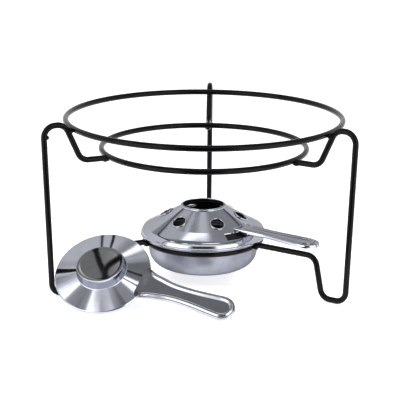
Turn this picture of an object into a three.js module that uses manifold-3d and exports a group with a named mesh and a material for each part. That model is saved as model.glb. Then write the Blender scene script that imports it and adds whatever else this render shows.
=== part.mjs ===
// Fondue set: black wire stand, spirit burner with an air regulator, and a loose snuffer lid.
// Millimetres, +Z up, the set stands on z = 0.
import * as THREE from 'three';
import { mergeVertices } from 'three/addons/utils/BufferGeometryUtils.js';
import Module from 'manifold-3d';

const wasm = await Module();
wasm.setup();

// Shared clearances
const seat_gap = 0.3;
const running_gap = 0.4;
const cut_overrun = 2;

// Stand wire and rings
const wire_diameter = 4.5;
const wire_sides = 8;
const ring_segments = 60;
const upper_ring_radius = 112.5;
const upper_ring_height = 136;
const lower_ring_radius = 84;
const lower_ring_height = 111.3;
const burner_ring_radius = 48.5;
const burner_ring_height = 34;

// Stand legs, each one bent wire, a few degrees off an even third as the hand welds leave them
const leg_right_angle = -32.2;
const leg_back_angle = 87.8;
const leg_left_angle = 205.2;
const arch_radius = 9.4;
const arch_rise = 3.7;
const arch_flat = 1.9;
const foot_width = 20.5;
const foot_toe_in = 3.9;
const foot_bend_radius = 8.5;
const knee_set_back = 7;
const knee_radius = 9;
const upper_arm_drop = 1.3;
const shin_radius = 9.2;
const burner_arm_rise = 1.9;
const bend_steps = 6;
const weld_radius = 3.1;
const burner_weld_radius = 3;
const burner_weld_sink = 0.8;
const upper_weld_radius = 2.9;
const upper_weld_share = 0.75;

// Fuel pan, carried by its flange on the burner ring
const pan_radius = 45.3;
const pan_depth = 25.4;
const pan_corner_radius = 14;
const pan_sheet = 0.8;
const pan_flange_width = 5.4;
const pan_corner_steps = 6;
const pan_segments = 60;

// Wick pad, gauze and the ring that holds them down
const pad_height = 17.6;
const pad_crown = 1.2;
const pad_middle_share = 0.5;
const pad_middle_rise_share = 0.75;
const gauze_thickness = 0.8;
const gauze_ring_width = 2.8;
const gauze_ring_height = 2.4;

// Burner cover
const cover_segments = 60;
const cover_sheet = 0.7;
const cover_hole_radius = 17.7;
const cover_lip_rise = 1;
const cover_lip_width = 0.9;
const cover_height = 25;
const cone_base_radius = 39.4;
const cone_drop = 12.3;
const shoulder_radius = 50.8;
const shoulder_drop = 5.6;
const shoulder_turn_angle = 60;
const shoulder_turn_steps = 2;
const cover_radius = 52;
const cover_rim_bulge = 0.6;
const cover_rim_height = 1.7;
const cover_floor_gap = 0.3;

// Air vents and the shutter under them
const vent_count = 6;
const vent_radius = 5.9;
const vent_reach = 31.3;
const vent_first_angle = -8.4;
const vent_sides = 20;
const vent_lip_width = 1.3;
const vent_lip_rise = 0.6;
const shutter_sheet = 0.7;
const shutter_top_radius = 19.5;
const shutter_outer_radius = 46.6;
const window_margin = 0.4;
const base_ring_sheet = 0.7;
const base_ring_bore = 43.4;

// Regulator arm and its slot in the cover
const regulator_angle = -36.5;
const regulator_travel = 23;
const regulator_tip_reach = 111.9;
const regulator_half_width = 9.8;
const regulator_fall = 4.3;
const tongue_width = 8;
const tongue_depth = 5;
const slot_inner_radius = 41.4;
const slot_outer_radius = 48.6;
const slot_margin = 0.6;

// Pressed handle plan, shared by the regulator and the snuffer
const handle_sheet = 0.9;
const handle_bead_inset = 1.9;
const handle_bead_width = 3.6;
const handle_bead_height = 1.1;
const handle_edge_drop = 0.9;
const handle_fade_length = 9;
const handle_plan_shares = [
  [0, 1.4], [0.05, 1.27], [0.12, 1.12], [0.2, 1], [0.29, 0.87], [0.38, 0.81], [0.5, 0.81],
  [0.62, 0.86], [0.74, 0.94], [0.85, 1], [0.91, 0.93], [0.955, 0.72], [0.985, 0.4],
];

// Snuffer lid: a hat with a flat crown, leaning on the left leg
const snuffer_segments = 60;
const snuffer_radius = 38.5;
const snuffer_height = 12.9;
const snuffer_sheet = 0.7;
const crown_radius = 17.8;
const crown_foot_radius = 19.1;
const crown_rise = 7.2;
const crown_edge = 0.5;
const brim_lip = 0.7;
// Corner, on the table, of the square round the leaning rim, on the side of the left leg
const snuffer_corner = [-122.916, -86.608];
const snuffer_tilt = 35.2;
const snuffer_heading = -101.3;
const snuffer_spin = 76.7;
const snuffer_handle_overlap = 3.9;
const snuffer_handle_length = 78.2;
const snuffer_handle_half_width = 10.5;
const snuffer_handle_fall = 2.8;

// Values that follow from the sizes above
const snuffer_handle_root = snuffer_radius - snuffer_handle_overlap;
const leg_angles = { leg_right: leg_right_angle, leg_back: leg_back_angle, leg_left: leg_left_angle };
const wire_radius = wire_diameter / 2;
const wire_flat_radius = wire_radius * Math.cos(Math.PI / wire_sides);
const touch = wire_diameter + seat_gap;
const radians = THREE.MathUtils.degToRad;
const merge_tolerance = 1e-4;

// Finishes
const finish = (color, roughness, metalness) => () =>
  new THREE.MeshStandardMaterial({ color, roughness, metalness });
const black_wire = finish(0x17181a, 0.35, 0.2);
const polished_steel = finish(0xc6c9d0, 0.16, 1);
const satin_steel = finish(0xa9adb8, 0.34, 1);
const gauze_steel = finish(0x8f9196, 0.45, 1);
const white_wool = finish(0xe9e6dd, 0.95, 0);

// A closed mesh as a boolean solid: shared vertices merged, slivers on the axis left out.
function solid(geometry) {
  const bare = geometry.clone();
  bare.deleteAttribute('normal');
  bare.deleteAttribute('uv');
  const merged = mergeVertices(bare, merge_tolerance);
  const index = merged.index.array;
  const triangles = [];
  for (let i = 0; i < index.length; i += 3) {
    const [a, b, c] = [index[i], index[i + 1], index[i + 2]];
    if (a !== b && b !== c && c !== a) triangles.push(a, b, c);
  }
  return new wasm.Manifold(new wasm.Mesh({
    numProp: 3,
    vertProperties: new Float32Array(merged.attributes.position.array),
    triVerts: new Uint32Array(triangles),
  }));
}

// A boolean solid back as a three.js geometry.
function shape_of(body) {
  const mesh = body.getMesh();
  const geometry = new THREE.BufferGeometry();
  const positions = new Float32Array(mesh.numVert * 3);
  for (let i = 0; i < mesh.numVert; i++) {
    for (let k = 0; k < 3; k++) positions[3 * i + k] = mesh.vertProperties[mesh.numProp * i + k];
  }
  geometry.setAttribute('position', new THREE.BufferAttribute(positions, 3));
  geometry.setIndex(new THREE.BufferAttribute(new Uint32Array(mesh.triVerts), 1));
  geometry.computeVertexNormals();
  return geometry;
}

// Twice the area inside a profile, positive when it runs anticlockwise.
function turn_of(profile) {
  let sum = 0;
  profile.forEach(([r, z], i) => {
    const [next_r, next_z] = profile[(i + 1) % profile.length];
    sum += r * next_z - next_r * z;
  });
  return sum;
}

// A solid of revolution about Z from [radius, height] points.
function revolve(profile, segments) {
  const points = turn_of(profile) > 0 ? [...profile] : [...profile].reverse();
  const on_axis = points.filter(([r]) => r === 0).length;
  if (on_axis === 0) points.push(points[0]);
  while (on_axis > 0 && points[0][0] !== 0) points.push(points.shift());
  if (on_axis > 0 && points[1][0] === 0) points.push(points.shift());
  const lathe = new THREE.LatheGeometry(points.map(([r, z]) => new THREE.Vector2(r, z)), segments);
  lathe.rotateX(Math.PI / 2);
  return shape_of(solid(lathe));
}

// The line a distance to the left of a polyline of [radius, height] points.
function offset_line(line, distance) {
  return line.map(([r, z], i) => {
    const before = line[Math.max(i - 1, 0)];
    const after = line[Math.min(i + 1, line.length - 1)];
    const into = i > 0 ? Math.atan2(z - before[1], r - before[0]) : null;
    const out = i < line.length - 1 ? Math.atan2(after[1] - z, after[0] - r) : null;
    const first = into ?? out;
    const last = out ?? into;
    const mean = first + (Math.atan2(Math.sin(last - first), Math.cos(last - first))) / 2;
    const reach = distance / Math.cos((last - first) / 2);
    return [r === 0 ? 0 : r - reach * Math.sin(mean), z + reach * Math.cos(mean)];
  });
}

// A pressed sheet of revolution: its outer line and the line one sheet to the left of it.
function pressed_sheet(line, thickness, segments) {
  return revolve([...line, ...offset_line(line, thickness).reverse()], segments);
}

// Points on an arc in the [radius, height] plane, angles in degrees.
function arc(center, radius, start, end, steps) {
  return Array.from({ length: steps + 1 }, (_, i) => {
    const angle = radians(start + (end - start) * i / steps);
    return [center[0] + radius * Math.cos(angle), center[1] + radius * Math.sin(angle)];
  });
}

// Height of a straight line through two [radius, height] points, at a radius.
function height_on([r0, z0], [r1, z1], r) {
  return z0 + (z1 - z0) * (r - r0) / (r1 - r0);
}

// The wire's section: a regular outline with flats above, below and on both sides.
function wire_section(radius) {
  return Array.from({ length: wire_sides }, (_, i) => {
    const angle = 2 * Math.PI * (i + 1 / 2) / wire_sides;
    return new THREE.Vector2(radius * Math.cos(angle), radius * Math.sin(angle));
  });
}

function wire_ring(radius, height, section_radius) {
  return revolve(wire_section(section_radius).map((p) => [radius + p.x, height + p.y]), ring_segments);
}

// A polyline in the leg's plane with its corners bent to radii.
function bent_line(corners, radii) {
  const line = [corners[0]];
  for (let i = 1; i < corners.length - 1; i++) {
    const corner = new THREE.Vector2(...corners[i]);
    const back = new THREE.Vector2(...corners[i - 1]).sub(corner).normalize();
    const ahead = new THREE.Vector2(...corners[i + 1]).sub(corner).normalize();
    const half = Math.acos(back.dot(ahead)) / 2;
    const radius = radii[i - 1];
    const middle = back.clone().add(ahead).normalize();
    const center = corner.clone().addScaledVector(middle, radius / Math.sin(half));
    const start = corner.clone().addScaledVector(back, radius / Math.tan(half)).sub(center).angle();
    const end = corner.clone().addScaledVector(ahead, radius / Math.tan(half)).sub(center).angle();
    const sweep = Math.atan2(Math.sin(end - start), Math.cos(end - start));
    for (let k = 0; k <= bend_steps; k++) {
      const angle = start + sweep * k / bend_steps;
      line.push([center.x + radius * Math.cos(angle), center.y + radius * Math.sin(angle)]);
    }
  }
  line.push(corners[corners.length - 1]);
  return line;
}

// A wire's path through given stations, so that straights need no rings between their ends.
class StationPath extends THREE.Curve {
  constructor(stations) {
    super();
    this.stations = stations;
  }

  getPointAt(u, target = new THREE.Vector3()) {
    const place = u * (this.stations.length - 1);
    const i = Math.min(Math.floor(place), this.stations.length - 2);
    return target.lerpVectors(this.stations[i], this.stations[i + 1], place - i);
  }

  getTangentAt(u, target = new THREE.Vector3()) {
    const last = this.stations.length - 1;
    const i = Math.round(u * last);
    const into = this.stations[Math.max(i, 1)].clone().sub(this.stations[Math.max(i - 1, 0)]).normalize();
    const low = Math.min(i, last - 1);
    const out = this.stations[low + 1].clone().sub(this.stations[low]).normalize();
    return target.copy(into).add(out).normalize();
  }
}

// Stand

const leg_top = upper_ring_height + arch_rise;
const upper_ring_center = new THREE.Vector2(upper_ring_radius, upper_ring_height);
const arch_drop = arch_radius - arch_rise;
const past_ring = new THREE.Vector2(Math.sqrt((arch_radius + touch) ** 2 - arch_drop ** 2), -arch_drop);
const arch_center_reach = upper_ring_radius + past_ring.x;
const beside_ring = upper_ring_center.clone().addScaledVector(past_ring.clone().normalize(), touch);
const weld_point = upper_ring_center.clone().lerp(beside_ring, upper_weld_share);
const shin_reach = (height) => beside_ring.x + (beside_ring.y - height) * past_ring.y / past_ring.x;
const leg_outer = arch_center_reach + arch_radius + arch_flat;
const foot_outer = leg_outer - foot_toe_in;
const foot_inner = foot_outer - foot_width;
const burner_arm_end = cover_radius + cover_rim_bulge + seat_gap;
const burner_arm_height = burner_ring_height + burner_arm_rise;
const burner_weld_reach = (burner_ring_radius + wire_radius + burner_arm_end) / 2;
const pot_arm_end = lower_ring_radius + touch - wire_radius;
const pot_arm_height = lower_ring_height - upper_arm_drop;

// One leg in its own plane, from the burner ring out and down to the foot, up over the arch and in again.
function leg_line() {
  const corners = [
    [burner_arm_end, burner_arm_height],
    [foot_inner - knee_set_back, burner_arm_height],
    [foot_inner, wire_flat_radius],
    [foot_outer, wire_flat_radius],
    [leg_outer, leg_top],
    [shin_reach(leg_top), leg_top],
    [shin_reach(pot_arm_height), pot_arm_height],
    [pot_arm_end, pot_arm_height],
  ];
  return bent_line(corners, [
    knee_radius, foot_bend_radius, foot_bend_radius, arch_radius, arch_radius, shin_radius,
  ]);
}

// A weld bead at [radius, height] in the leg's plane, cut back from the ring it joins.
function weld_bead([reach, height], radius, ring) {
  const bead = new THREE.IcosahedronGeometry(radius, 1);
  bead.translate(reach, 0, height);
  return solid(bead).subtract(ring);
}

function stand() {
  const group = new THREE.Group();
  const rings = {
    upper_ring: [upper_ring_radius, upper_ring_height],
    lower_ring: [lower_ring_radius, lower_ring_height],
    burner_ring: [burner_ring_radius, burner_ring_height],
  };
  const room = {};
  for (const [name, [radius, height]] of Object.entries(rings)) {
    add_mesh(group, name, wire_ring(radius, height, wire_radius), black_wire);
    const clear_radius = (wire_radius + seat_gap) / Math.cos(Math.PI / wire_sides);
    room[name] = solid(wire_ring(radius, height, clear_radius));
  }
  const stations = leg_line().map(([r, z]) => new THREE.Vector3(r, 0, z));
  const wire = new THREE.ExtrudeGeometry(new THREE.Shape(wire_section(wire_radius)), {
    steps: stations.length - 1,
    extrudePath: new StationPath(stations),
    bevelEnabled: false,
  });
  const leg = solid(wire)
    .add(weld_bead(
      [burner_weld_reach, burner_ring_height - burner_weld_sink], burner_weld_radius, room.burner_ring,
    ))
    .add(weld_bead([pot_arm_end, pot_arm_height], weld_radius, room.lower_ring))
    .add(weld_bead(weld_point.toArray(), upper_weld_radius, room.upper_ring));
  for (const [name, angle] of Object.entries(leg_angles)) {
    const mesh = add_mesh(group, name, shape_of(leg), black_wire);
    mesh.rotation.z = radians(angle);
  }
  return group;
}

// Burner

const flange_bottom = burner_ring_height + wire_flat_radius + seat_gap;
const flange_top = flange_bottom + pan_sheet;
const pan_floor = flange_bottom - pan_depth;
const pan_bore = pan_radius - pan_sheet;
const pan_flange_radius = pan_radius + pan_flange_width;
const gauze_bottom = pan_floor + pan_sheet + seat_gap + pad_height + pad_crown + seat_gap;
const cover_foot = flange_top + cover_floor_gap;
const cover_top = cover_foot + cover_height - cover_lip_rise;
const crease = [cone_base_radius, cover_top - cone_drop];
const shoulder = [shoulder_radius, crease[1] - shoulder_drop];

function fuel_pan() {
  const corner = arc(
    [pan_radius - pan_corner_radius, pan_floor + pan_corner_radius],
    pan_corner_radius, -90, 0, pan_corner_steps,
  );
  const line = [[0, pan_floor], ...corner, [pan_radius, flange_bottom], [pan_flange_radius, flange_bottom]];
  return pressed_sheet(line, pan_sheet, pan_segments);
}

function wick_pad() {
  const radius = pan_bore - seat_gap;
  const bottom = pan_floor + pan_sheet + seat_gap;
  const corner_radius = pan_corner_radius - pan_sheet;
  const corner = arc(
    [radius - corner_radius, bottom + corner_radius],
    corner_radius, -90, 0, pan_corner_steps,
  );
  const top = bottom + pad_height;
  return revolve([
    [0, bottom], ...corner, [radius, top - pad_crown], [radius - pad_crown, top],
    [radius * pad_middle_share, top + pad_crown * pad_middle_rise_share], [0, top + pad_crown],
  ], pan_segments);
}

function wick_gauze() {
  const radius = pan_bore - seat_gap;
  return revolve([
    [0, gauze_bottom], [radius, gauze_bottom], [radius, gauze_bottom + gauze_thickness],
    [0, gauze_bottom + gauze_thickness],
  ], pan_segments);
}

function gauze_ring() {
  const outer = pan_bore - seat_gap;
  const bottom = gauze_bottom + gauze_thickness + seat_gap;
  return pressed_sheet([
    [outer - gauze_ring_width, bottom], [outer, bottom], [outer, bottom + gauze_ring_height],
  ], pan_sheet, pan_segments);
}

// The cover's outer line from the rim of the flame hole down to the rolled edge.
function cover_line() {
  const cone_top = [cover_hole_radius + cover_lip_width, cover_top];
  const turn = cover_radius - shoulder_radius;
  const rim = [cover_radius + cover_rim_bulge, cover_foot + cover_rim_height / 2];
  return [
    [cover_hole_radius, cover_top + cover_lip_rise],
    cone_top,
    crease,
    shoulder,
    ...arc([shoulder_radius, shoulder[1] - turn], turn, shoulder_turn_angle, 0, shoulder_turn_steps),
    [cover_radius, cover_foot + cover_rim_height],
    rim,
    [cover_radius, cover_foot],
  ];
}

// A cutter or collar that stands square to the cone at a vent, its foot a depth below the cone's face.
function on_cone(angle, radius, depth, rise) {
  const [top, base] = cover_line().slice(1, 3);
  const slope = Math.atan2(top[1] - base[1], base[0] - top[0]);
  const tool = new THREE.CylinderGeometry(radius, radius, depth + rise, vent_sides);
  tool.rotateX(Math.PI / 2);
  tool.translate(0, 0, (rise - depth) / 2);
  tool.rotateY(slope);
  tool.translate(vent_reach, 0, height_on(top, base, vent_reach));
  tool.rotateZ(radians(angle));
  return solid(tool);
}

const vent_angles = Array.from({ length: vent_count }, (_, i) => vent_first_angle + 360 * i / vent_count);
const tongue_reach = (slot_inner_radius + slot_outer_radius) / 2;

// A sector between two radii, as tall as the cover.
function sector(inner, outer, from, to) {
  const plan = new THREE.Shape();
  plan.absarc(0, 0, outer, radians(from), radians(to), false);
  plan.absarc(0, 0, inner, radians(to), radians(from), true);
  const block = new THREE.ExtrudeGeometry(plan, {
    depth: cover_height + cut_overrun,
    bevelEnabled: false,
    curveSegments: vent_sides / 2,
  });
  block.translate(0, 0, cover_foot);
  return solid(block);
}

function burner_cover() {
  const turn = THREE.MathUtils.radToDeg((tongue_width / 2 + slot_margin) / slot_inner_radius);
  const from = regulator_angle - regulator_travel - turn;
  const to = regulator_angle + turn;
  let cover = solid(pressed_sheet(cover_line(), -cover_sheet, cover_segments));
  for (const angle of vent_angles) {
    cover = cover.add(on_cone(angle, vent_radius + vent_lip_width, cover_sheet, vent_lip_rise));
  }
  for (const angle of vent_angles) {
    cover = cover.subtract(on_cone(
      angle, vent_radius, cover_sheet + cut_overrun, vent_lip_rise + cut_overrun,
    ));
  }
  return shape_of(cover.subtract(sector(slot_inner_radius, slot_outer_radius, from, to)));
}

// The shutter's upper line, a running gap under the cover's sheet.
function shutter_line() {
  const [, cone_top, base, edge] = cover_line();
  const line = [
    [shutter_top_radius, height_on(cone_top, base, shutter_top_radius)],
    base,
    [shutter_outer_radius, height_on(base, edge, shutter_outer_radius)],
  ];
  return offset_line(line, -(cover_sheet + running_gap));
}

function vent_shutter() {
  let shutter = solid(pressed_sheet(shutter_line(), -shutter_sheet, cover_segments));
  const depth = cover_sheet + running_gap + shutter_sheet + cut_overrun;
  for (const angle of vent_angles) {
    shutter = shutter.subtract(on_cone(angle, vent_radius + window_margin, depth, 0));
  }
  return shape_of(shutter);
}

// The ring that closes the cover from below: it sits on the pan's flange and carries the shutter.
function cover_base_ring() {
  const outer = cover_radius - cover_sheet - seat_gap;
  const bottom = cover_foot;
  const [, base, edge] = offset_line(shutter_line(), -shutter_sheet);
  const top = height_on(base, edge, base_ring_bore + base_ring_sheet) - seat_gap;
  return pressed_sheet([
    [base_ring_bore + base_ring_sheet, top],
    [base_ring_bore + base_ring_sheet, bottom + base_ring_sheet],
    [outer, bottom + base_ring_sheet],
  ], -base_ring_sheet, cover_segments);
}

// A pressed handle along +X: a flat web inside a raised bead, the edge turned down.
// rise(x) gives the web's middle height at a distance from the root.
function pressed_handle(length, half_width, rise) {
  const side = handle_plan_shares.map(([along, out]) => [along * length, -out * half_width]);
  const plan = [...side, [length, 0], ...side.map(([x, y]) => [x, -y]).reverse()];
  const steps = [
    { inset: 0, height: -handle_edge_drop },
    { inset: handle_bead_inset, height: handle_bead_height },
    { inset: handle_bead_width, height: 0 },
  ];
  const fade = (x) => THREE.MathUtils.smoothstep(x, 0, handle_fade_length);
  const loops = steps.map(({ inset, height }) => offset_loop(plan, inset).map(([x, y]) => (
    [x, y, rise(x) + height * fade(x)]
  )));
  const count = plan.length;
  const positions = [];
  for (const half of [handle_sheet / 2, -handle_sheet / 2]) {
    for (const loop of loops) {
      for (const [x, y, z] of loop) positions.push(x, y, z + half);
    }
  }
  const lower = count * loops.length;
  const triangles = [];
  const both_faces = (a, b, c) => triangles.push(a, b, c, lower + a, lower + c, lower + b);
  for (let i = 0; i < count; i++) {
    const next = (i + 1) % count;
    for (let k = 0; k < loops.length - 1; k++) {
      const [a, b] = [k * count + i, k * count + next];
      both_faces(a, b, a + count);
      both_faces(b, b + count, a + count);
    }
    triangles.push(lower + i, lower + next, i, lower + next, next, i);
  }
  const web = count * (loops.length - 1);
  const facing = (i) => count - 1 - i;
  for (let i = 0; i < side.length - 1; i++) {
    both_faces(web + i, web + i + 1, web + facing(i + 1));
    both_faces(web + i, web + facing(i + 1), web + facing(i));
  }
  both_faces(web + side.length - 1, web + side.length, web + side.length + 1);
  const geometry = new THREE.BufferGeometry();
  geometry.setAttribute('position', new THREE.Float32BufferAttribute(positions, 3));
  geometry.setIndex(triangles);
  return geometry;
}

// A closed loop drawn in by an inset along its own normals.
function offset_loop(loop, inset) {
  const turn = Math.sign(turn_of(loop));
  return loop.map(([x, y], i) => {
    const before = loop[(i + loop.length - 1) % loop.length];
    const after = loop[(i + 1) % loop.length];
    const into = Math.atan2(y - before[1], x - before[0]);
    const out = Math.atan2(after[1] - y, after[0] - x);
    const bend = Math.atan2(Math.sin(out - into), Math.cos(out - into));
    const mean = into + bend / 2;
    const reach = turn * inset / Math.cos(bend / 2);
    return [x - reach * Math.sin(mean), y + reach * Math.cos(mean)];
  });
}

// The space of the cover's cone and the seat gap round it.
function cone_room() {
  const [, cone_top, base] = cover_line();
  return solid(revolve([
    [0, base[1]], [base[0] + seat_gap, base[1]], [base[0] + seat_gap, base[1] + seat_gap],
    [cone_top[0] + seat_gap, cone_top[1] + seat_gap], [0, cone_top[1] + seat_gap],
  ], cover_segments));
}

// The regulator arm lies over the cover, its root hollowed to clear the cone; its tongue goes down
// through the slot to the shutter.
function regulator_handle() {
  const root = crease[1] + seat_gap + handle_sheet / 2;
  const root_half_width = handle_plan_shares[0][1] * regulator_half_width;
  const root_reach = Math.sqrt(cone_base_radius ** 2 - root_half_width ** 2);
  const length = regulator_tip_reach - root_reach;
  const handle = pressed_handle(length, regulator_half_width, (x) => root - regulator_fall * x / length);
  handle.translate(root_reach, 0, 0);
  const [, base, edge] = shutter_line();
  const inner = tongue_reach - tongue_depth / 2;
  const foot = height_on(base, edge, inner) + seat_gap;
  const tongue = new THREE.BoxGeometry(tongue_depth, tongue_width, root - foot);
  tongue.translate(tongue_reach, 0, (root + foot) / 2);
  return shape_of(solid(handle).subtract(cone_room()).add(solid(tongue)));
}

function burner() {
  const group = new THREE.Group();
  add_mesh(group, 'fuel_pan', fuel_pan(), satin_steel);
  add_mesh(group, 'wick_pad', wick_pad(), white_wool);
  add_mesh(group, 'wick_gauze', wick_gauze(), gauze_steel);
  add_mesh(group, 'gauze_ring', gauze_ring(), satin_steel);
  add_mesh(group, 'cover_base_ring', cover_base_ring(), satin_steel);
  add_mesh(group, 'vent_shutter', vent_shutter(), satin_steel);
  add_mesh(group, 'burner_cover', burner_cover(), polished_steel);
  const handle = add_mesh(group, 'regulator_handle', regulator_handle(), polished_steel);
  handle.rotation.z = radians(regulator_angle);
  return group;
}

// Snuffer, in its own frame: the rim's plane is z = 0 and the handle points along +X

const brim_top = [crown_foot_radius, snuffer_height - crown_rise];
const brim_edge = [snuffer_radius - brim_lip, brim_lip + snuffer_sheet];

function snuffer_cap() {
  return pressed_sheet([
    [0, snuffer_height],
    [crown_radius - crown_edge, snuffer_height],
    [crown_radius, snuffer_height - crown_edge],
    brim_top,
    brim_edge,
    [snuffer_radius, brim_lip],
    [snuffer_radius, 0],
  ], -snuffer_sheet, snuffer_segments);
}

function snuffer_handle() {
  const lift = seat_gap + handle_sheet / 2;
  const root = height_on(brim_top, brim_edge, snuffer_handle_root) + lift;
  const rim = brim_edge[1] + lift;
  const reach = snuffer_handle_overlap;
  const rise = (x) => (x < reach
    ? root + (rim - root) * x / reach
    : rim - snuffer_handle_fall * (x - reach) / (snuffer_handle_length - reach));
  const handle = pressed_handle(snuffer_handle_length, snuffer_handle_half_width, rise);
  handle.translate(snuffer_handle_root, 0, 0);
  const room = solid(revolve([
    [0, 0], [snuffer_radius + seat_gap, 0], [snuffer_radius + seat_gap, brim_lip],
    [brim_edge[0], brim_edge[1] + seat_gap], [brim_top[0], brim_top[1] + seat_gap], [0, brim_top[1]],
  ], snuffer_segments));
  return shape_of(solid(handle).subtract(room));
}

function snuffer() {
  const spun = new THREE.Group();
  add_mesh(spun, 'snuffer_cap', snuffer_cap(), polished_steel);
  add_mesh(spun, 'snuffer_handle', snuffer_handle(), polished_steel);
  spun.rotation.z = radians(snuffer_spin);
  const tilted = new THREE.Group();
  const tilt = radians(snuffer_tilt);
  const heading = radians(snuffer_heading);
  tilted.rotation.y = tilt;
  tilted.add(spun);
  const placed = new THREE.Group();
  placed.rotation.z = heading;
  const back = snuffer_radius * Math.cos(tilt);
  placed.position.set(
    snuffer_corner[0] - back * Math.cos(heading) - snuffer_radius * Math.sin(heading),
    snuffer_corner[1] - back * Math.sin(heading) + snuffer_radius * Math.cos(heading),
    seat_gap + snuffer_radius * Math.sin(tilt),
  );
  placed.add(tilted);
  return placed;
}

function add_mesh(group, name, geometry, dress) {
  const mesh = new THREE.Mesh(geometry, dress());
  mesh.name = name;
  group.add(mesh);
  return mesh;
}

// The whole set, its origin under the middle of its box on the table
const fondue_set = new THREE.Group();
fondue_set.add(stand(), burner(), snuffer());
fondue_set.updateMatrixWorld(true);
const box = new THREE.Box3().setFromObject(fondue_set, true);
const middle = box.getCenter(new THREE.Vector3());
fondue_set.position.set(-middle.x, -middle.y, -box.min.z);
fondue_set.updateMatrixWorld(true);

export default fondue_set;
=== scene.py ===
"""Fondue set: a black wire stand, a steel spirit burner and a loose snuffer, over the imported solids.

Sizes in the classes are millimetres, measured from the stand's own axis and from the table.
Meshes are written in metres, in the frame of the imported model.
"""

import logging
import math
from collections.abc import Callable, Sequence
from dataclasses import dataclass, field
from enum import Enum
from typing import Any

import bmesh
import bpy
import numpy as np
from mathutils import Matrix, Vector


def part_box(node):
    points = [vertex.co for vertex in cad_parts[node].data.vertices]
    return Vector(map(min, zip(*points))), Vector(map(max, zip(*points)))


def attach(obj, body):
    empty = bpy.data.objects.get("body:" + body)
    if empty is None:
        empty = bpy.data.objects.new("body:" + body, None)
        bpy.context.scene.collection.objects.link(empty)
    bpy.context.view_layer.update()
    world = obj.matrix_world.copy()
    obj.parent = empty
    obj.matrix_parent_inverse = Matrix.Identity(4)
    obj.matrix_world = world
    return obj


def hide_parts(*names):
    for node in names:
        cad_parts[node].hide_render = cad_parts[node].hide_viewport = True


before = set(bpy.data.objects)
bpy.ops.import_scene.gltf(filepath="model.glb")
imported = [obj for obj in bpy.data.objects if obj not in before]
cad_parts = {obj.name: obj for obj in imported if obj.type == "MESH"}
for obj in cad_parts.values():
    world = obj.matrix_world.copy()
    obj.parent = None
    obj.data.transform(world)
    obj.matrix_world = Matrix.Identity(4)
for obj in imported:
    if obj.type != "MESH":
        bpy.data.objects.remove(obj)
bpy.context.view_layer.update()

LOG = logging.getLogger("fondue_set")
MM = 0.001
MM_PER_CM = 10
# A height in millimetres that stands for nothing below.
NO_FLOOR = -100.0
# Edges of a handle that turn by more degrees than this stay sharp.
HANDLE_CRISP_ANGLE = 50.0
Line = list[tuple[float, float]]
Heights = Callable[[np.ndarray], np.ndarray]
Floor = Callable[[np.ndarray, np.ndarray], np.ndarray]


class Body(Enum):
    """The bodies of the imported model."""

    STAND = "stand"
    BURNER = "burner"
    COVER = "cover"
    REGULATOR = "regulator"
    SNUFFER = "snuffer"


class Slot(Enum):
    """The record's material slots."""

    BLACK_WIRE = "black_wire"
    POLISHED_STEEL = "polished_steel"
    SATIN_STEEL = "satin_steel"
    GAUZE_STEEL = "gauze_steel"
    WHITE_WOOL = "white_wool"


class Pattern(Enum):
    """What the trees of geometry nodes make."""

    WIRE = "wire along a line"
    WELD = "weld beads"
    GAUZE = "plain wire cloth"
    VENTS = "punched vents"


def node_low(node: str) -> float:
    """The lowest height of a CAD node, in millimetres."""
    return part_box(node)[0].z / MM


def node_high(node: str) -> float:
    """The greatest height of a CAD node, in millimetres."""
    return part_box(node)[1].z / MM


def stand_axis() -> Vector:
    """The place of the stand's axis on the table, in metres."""
    low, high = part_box("upper_ring")
    return Vector(((low.x + high.x) / 2, (low.y + high.y) / 2, 0.0))


AXIS = stand_axis()


def linked(name: str, data: bpy.types.ID) -> bpy.types.Object:
    """Makes an object and puts it in the scene.

    Args:
        name: The object's name.
        data: Its mesh, lamp or camera.

    Returns:
        The object, at the origin.
    """
    made = bpy.data.objects.new(name, data)
    bpy.context.scene.collection.objects.link(made)
    return made


# Lines and surfaces


def bent(corners: Sequence[tuple[float, float]], radii: Sequence[float], steps: int = 8) -> Line:
    """Rounds the inner corners of a polyline.

    Args:
        corners: The polyline's points.
        radii: One radius for each corner between the two ends.
        steps: Pieces in each rounded corner.

    Returns:
        The rounded polyline.
    """
    line = [tuple(corners[0])]
    for i, radius in enumerate(radii, start=1):
        corner, before, after = (np.array(corners[k], float) for k in (i, i - 1, i + 1))
        back = (before - corner) / np.linalg.norm(before - corner)
        ahead = (after - corner) / np.linalg.norm(after - corner)
        half = math.acos(float(np.clip(back @ ahead, -1, 1))) / 2
        middle = (back + ahead) / np.linalg.norm(back + ahead)
        center = corner + middle * radius / math.sin(half)
        start = corner + back * radius / math.tan(half) - center
        end = corner + ahead * radius / math.tan(half) - center
        first = math.atan2(start[1], start[0])
        sweep = math.remainder(math.atan2(end[1], end[0]) - first, 2 * math.pi)
        for k in range(steps + 1):
            angle = first + sweep * k / steps
            line.append((center[0] + radius * math.cos(angle), center[1] + radius * math.sin(angle)))
    line.append(tuple(corners[-1]))
    return line


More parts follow.
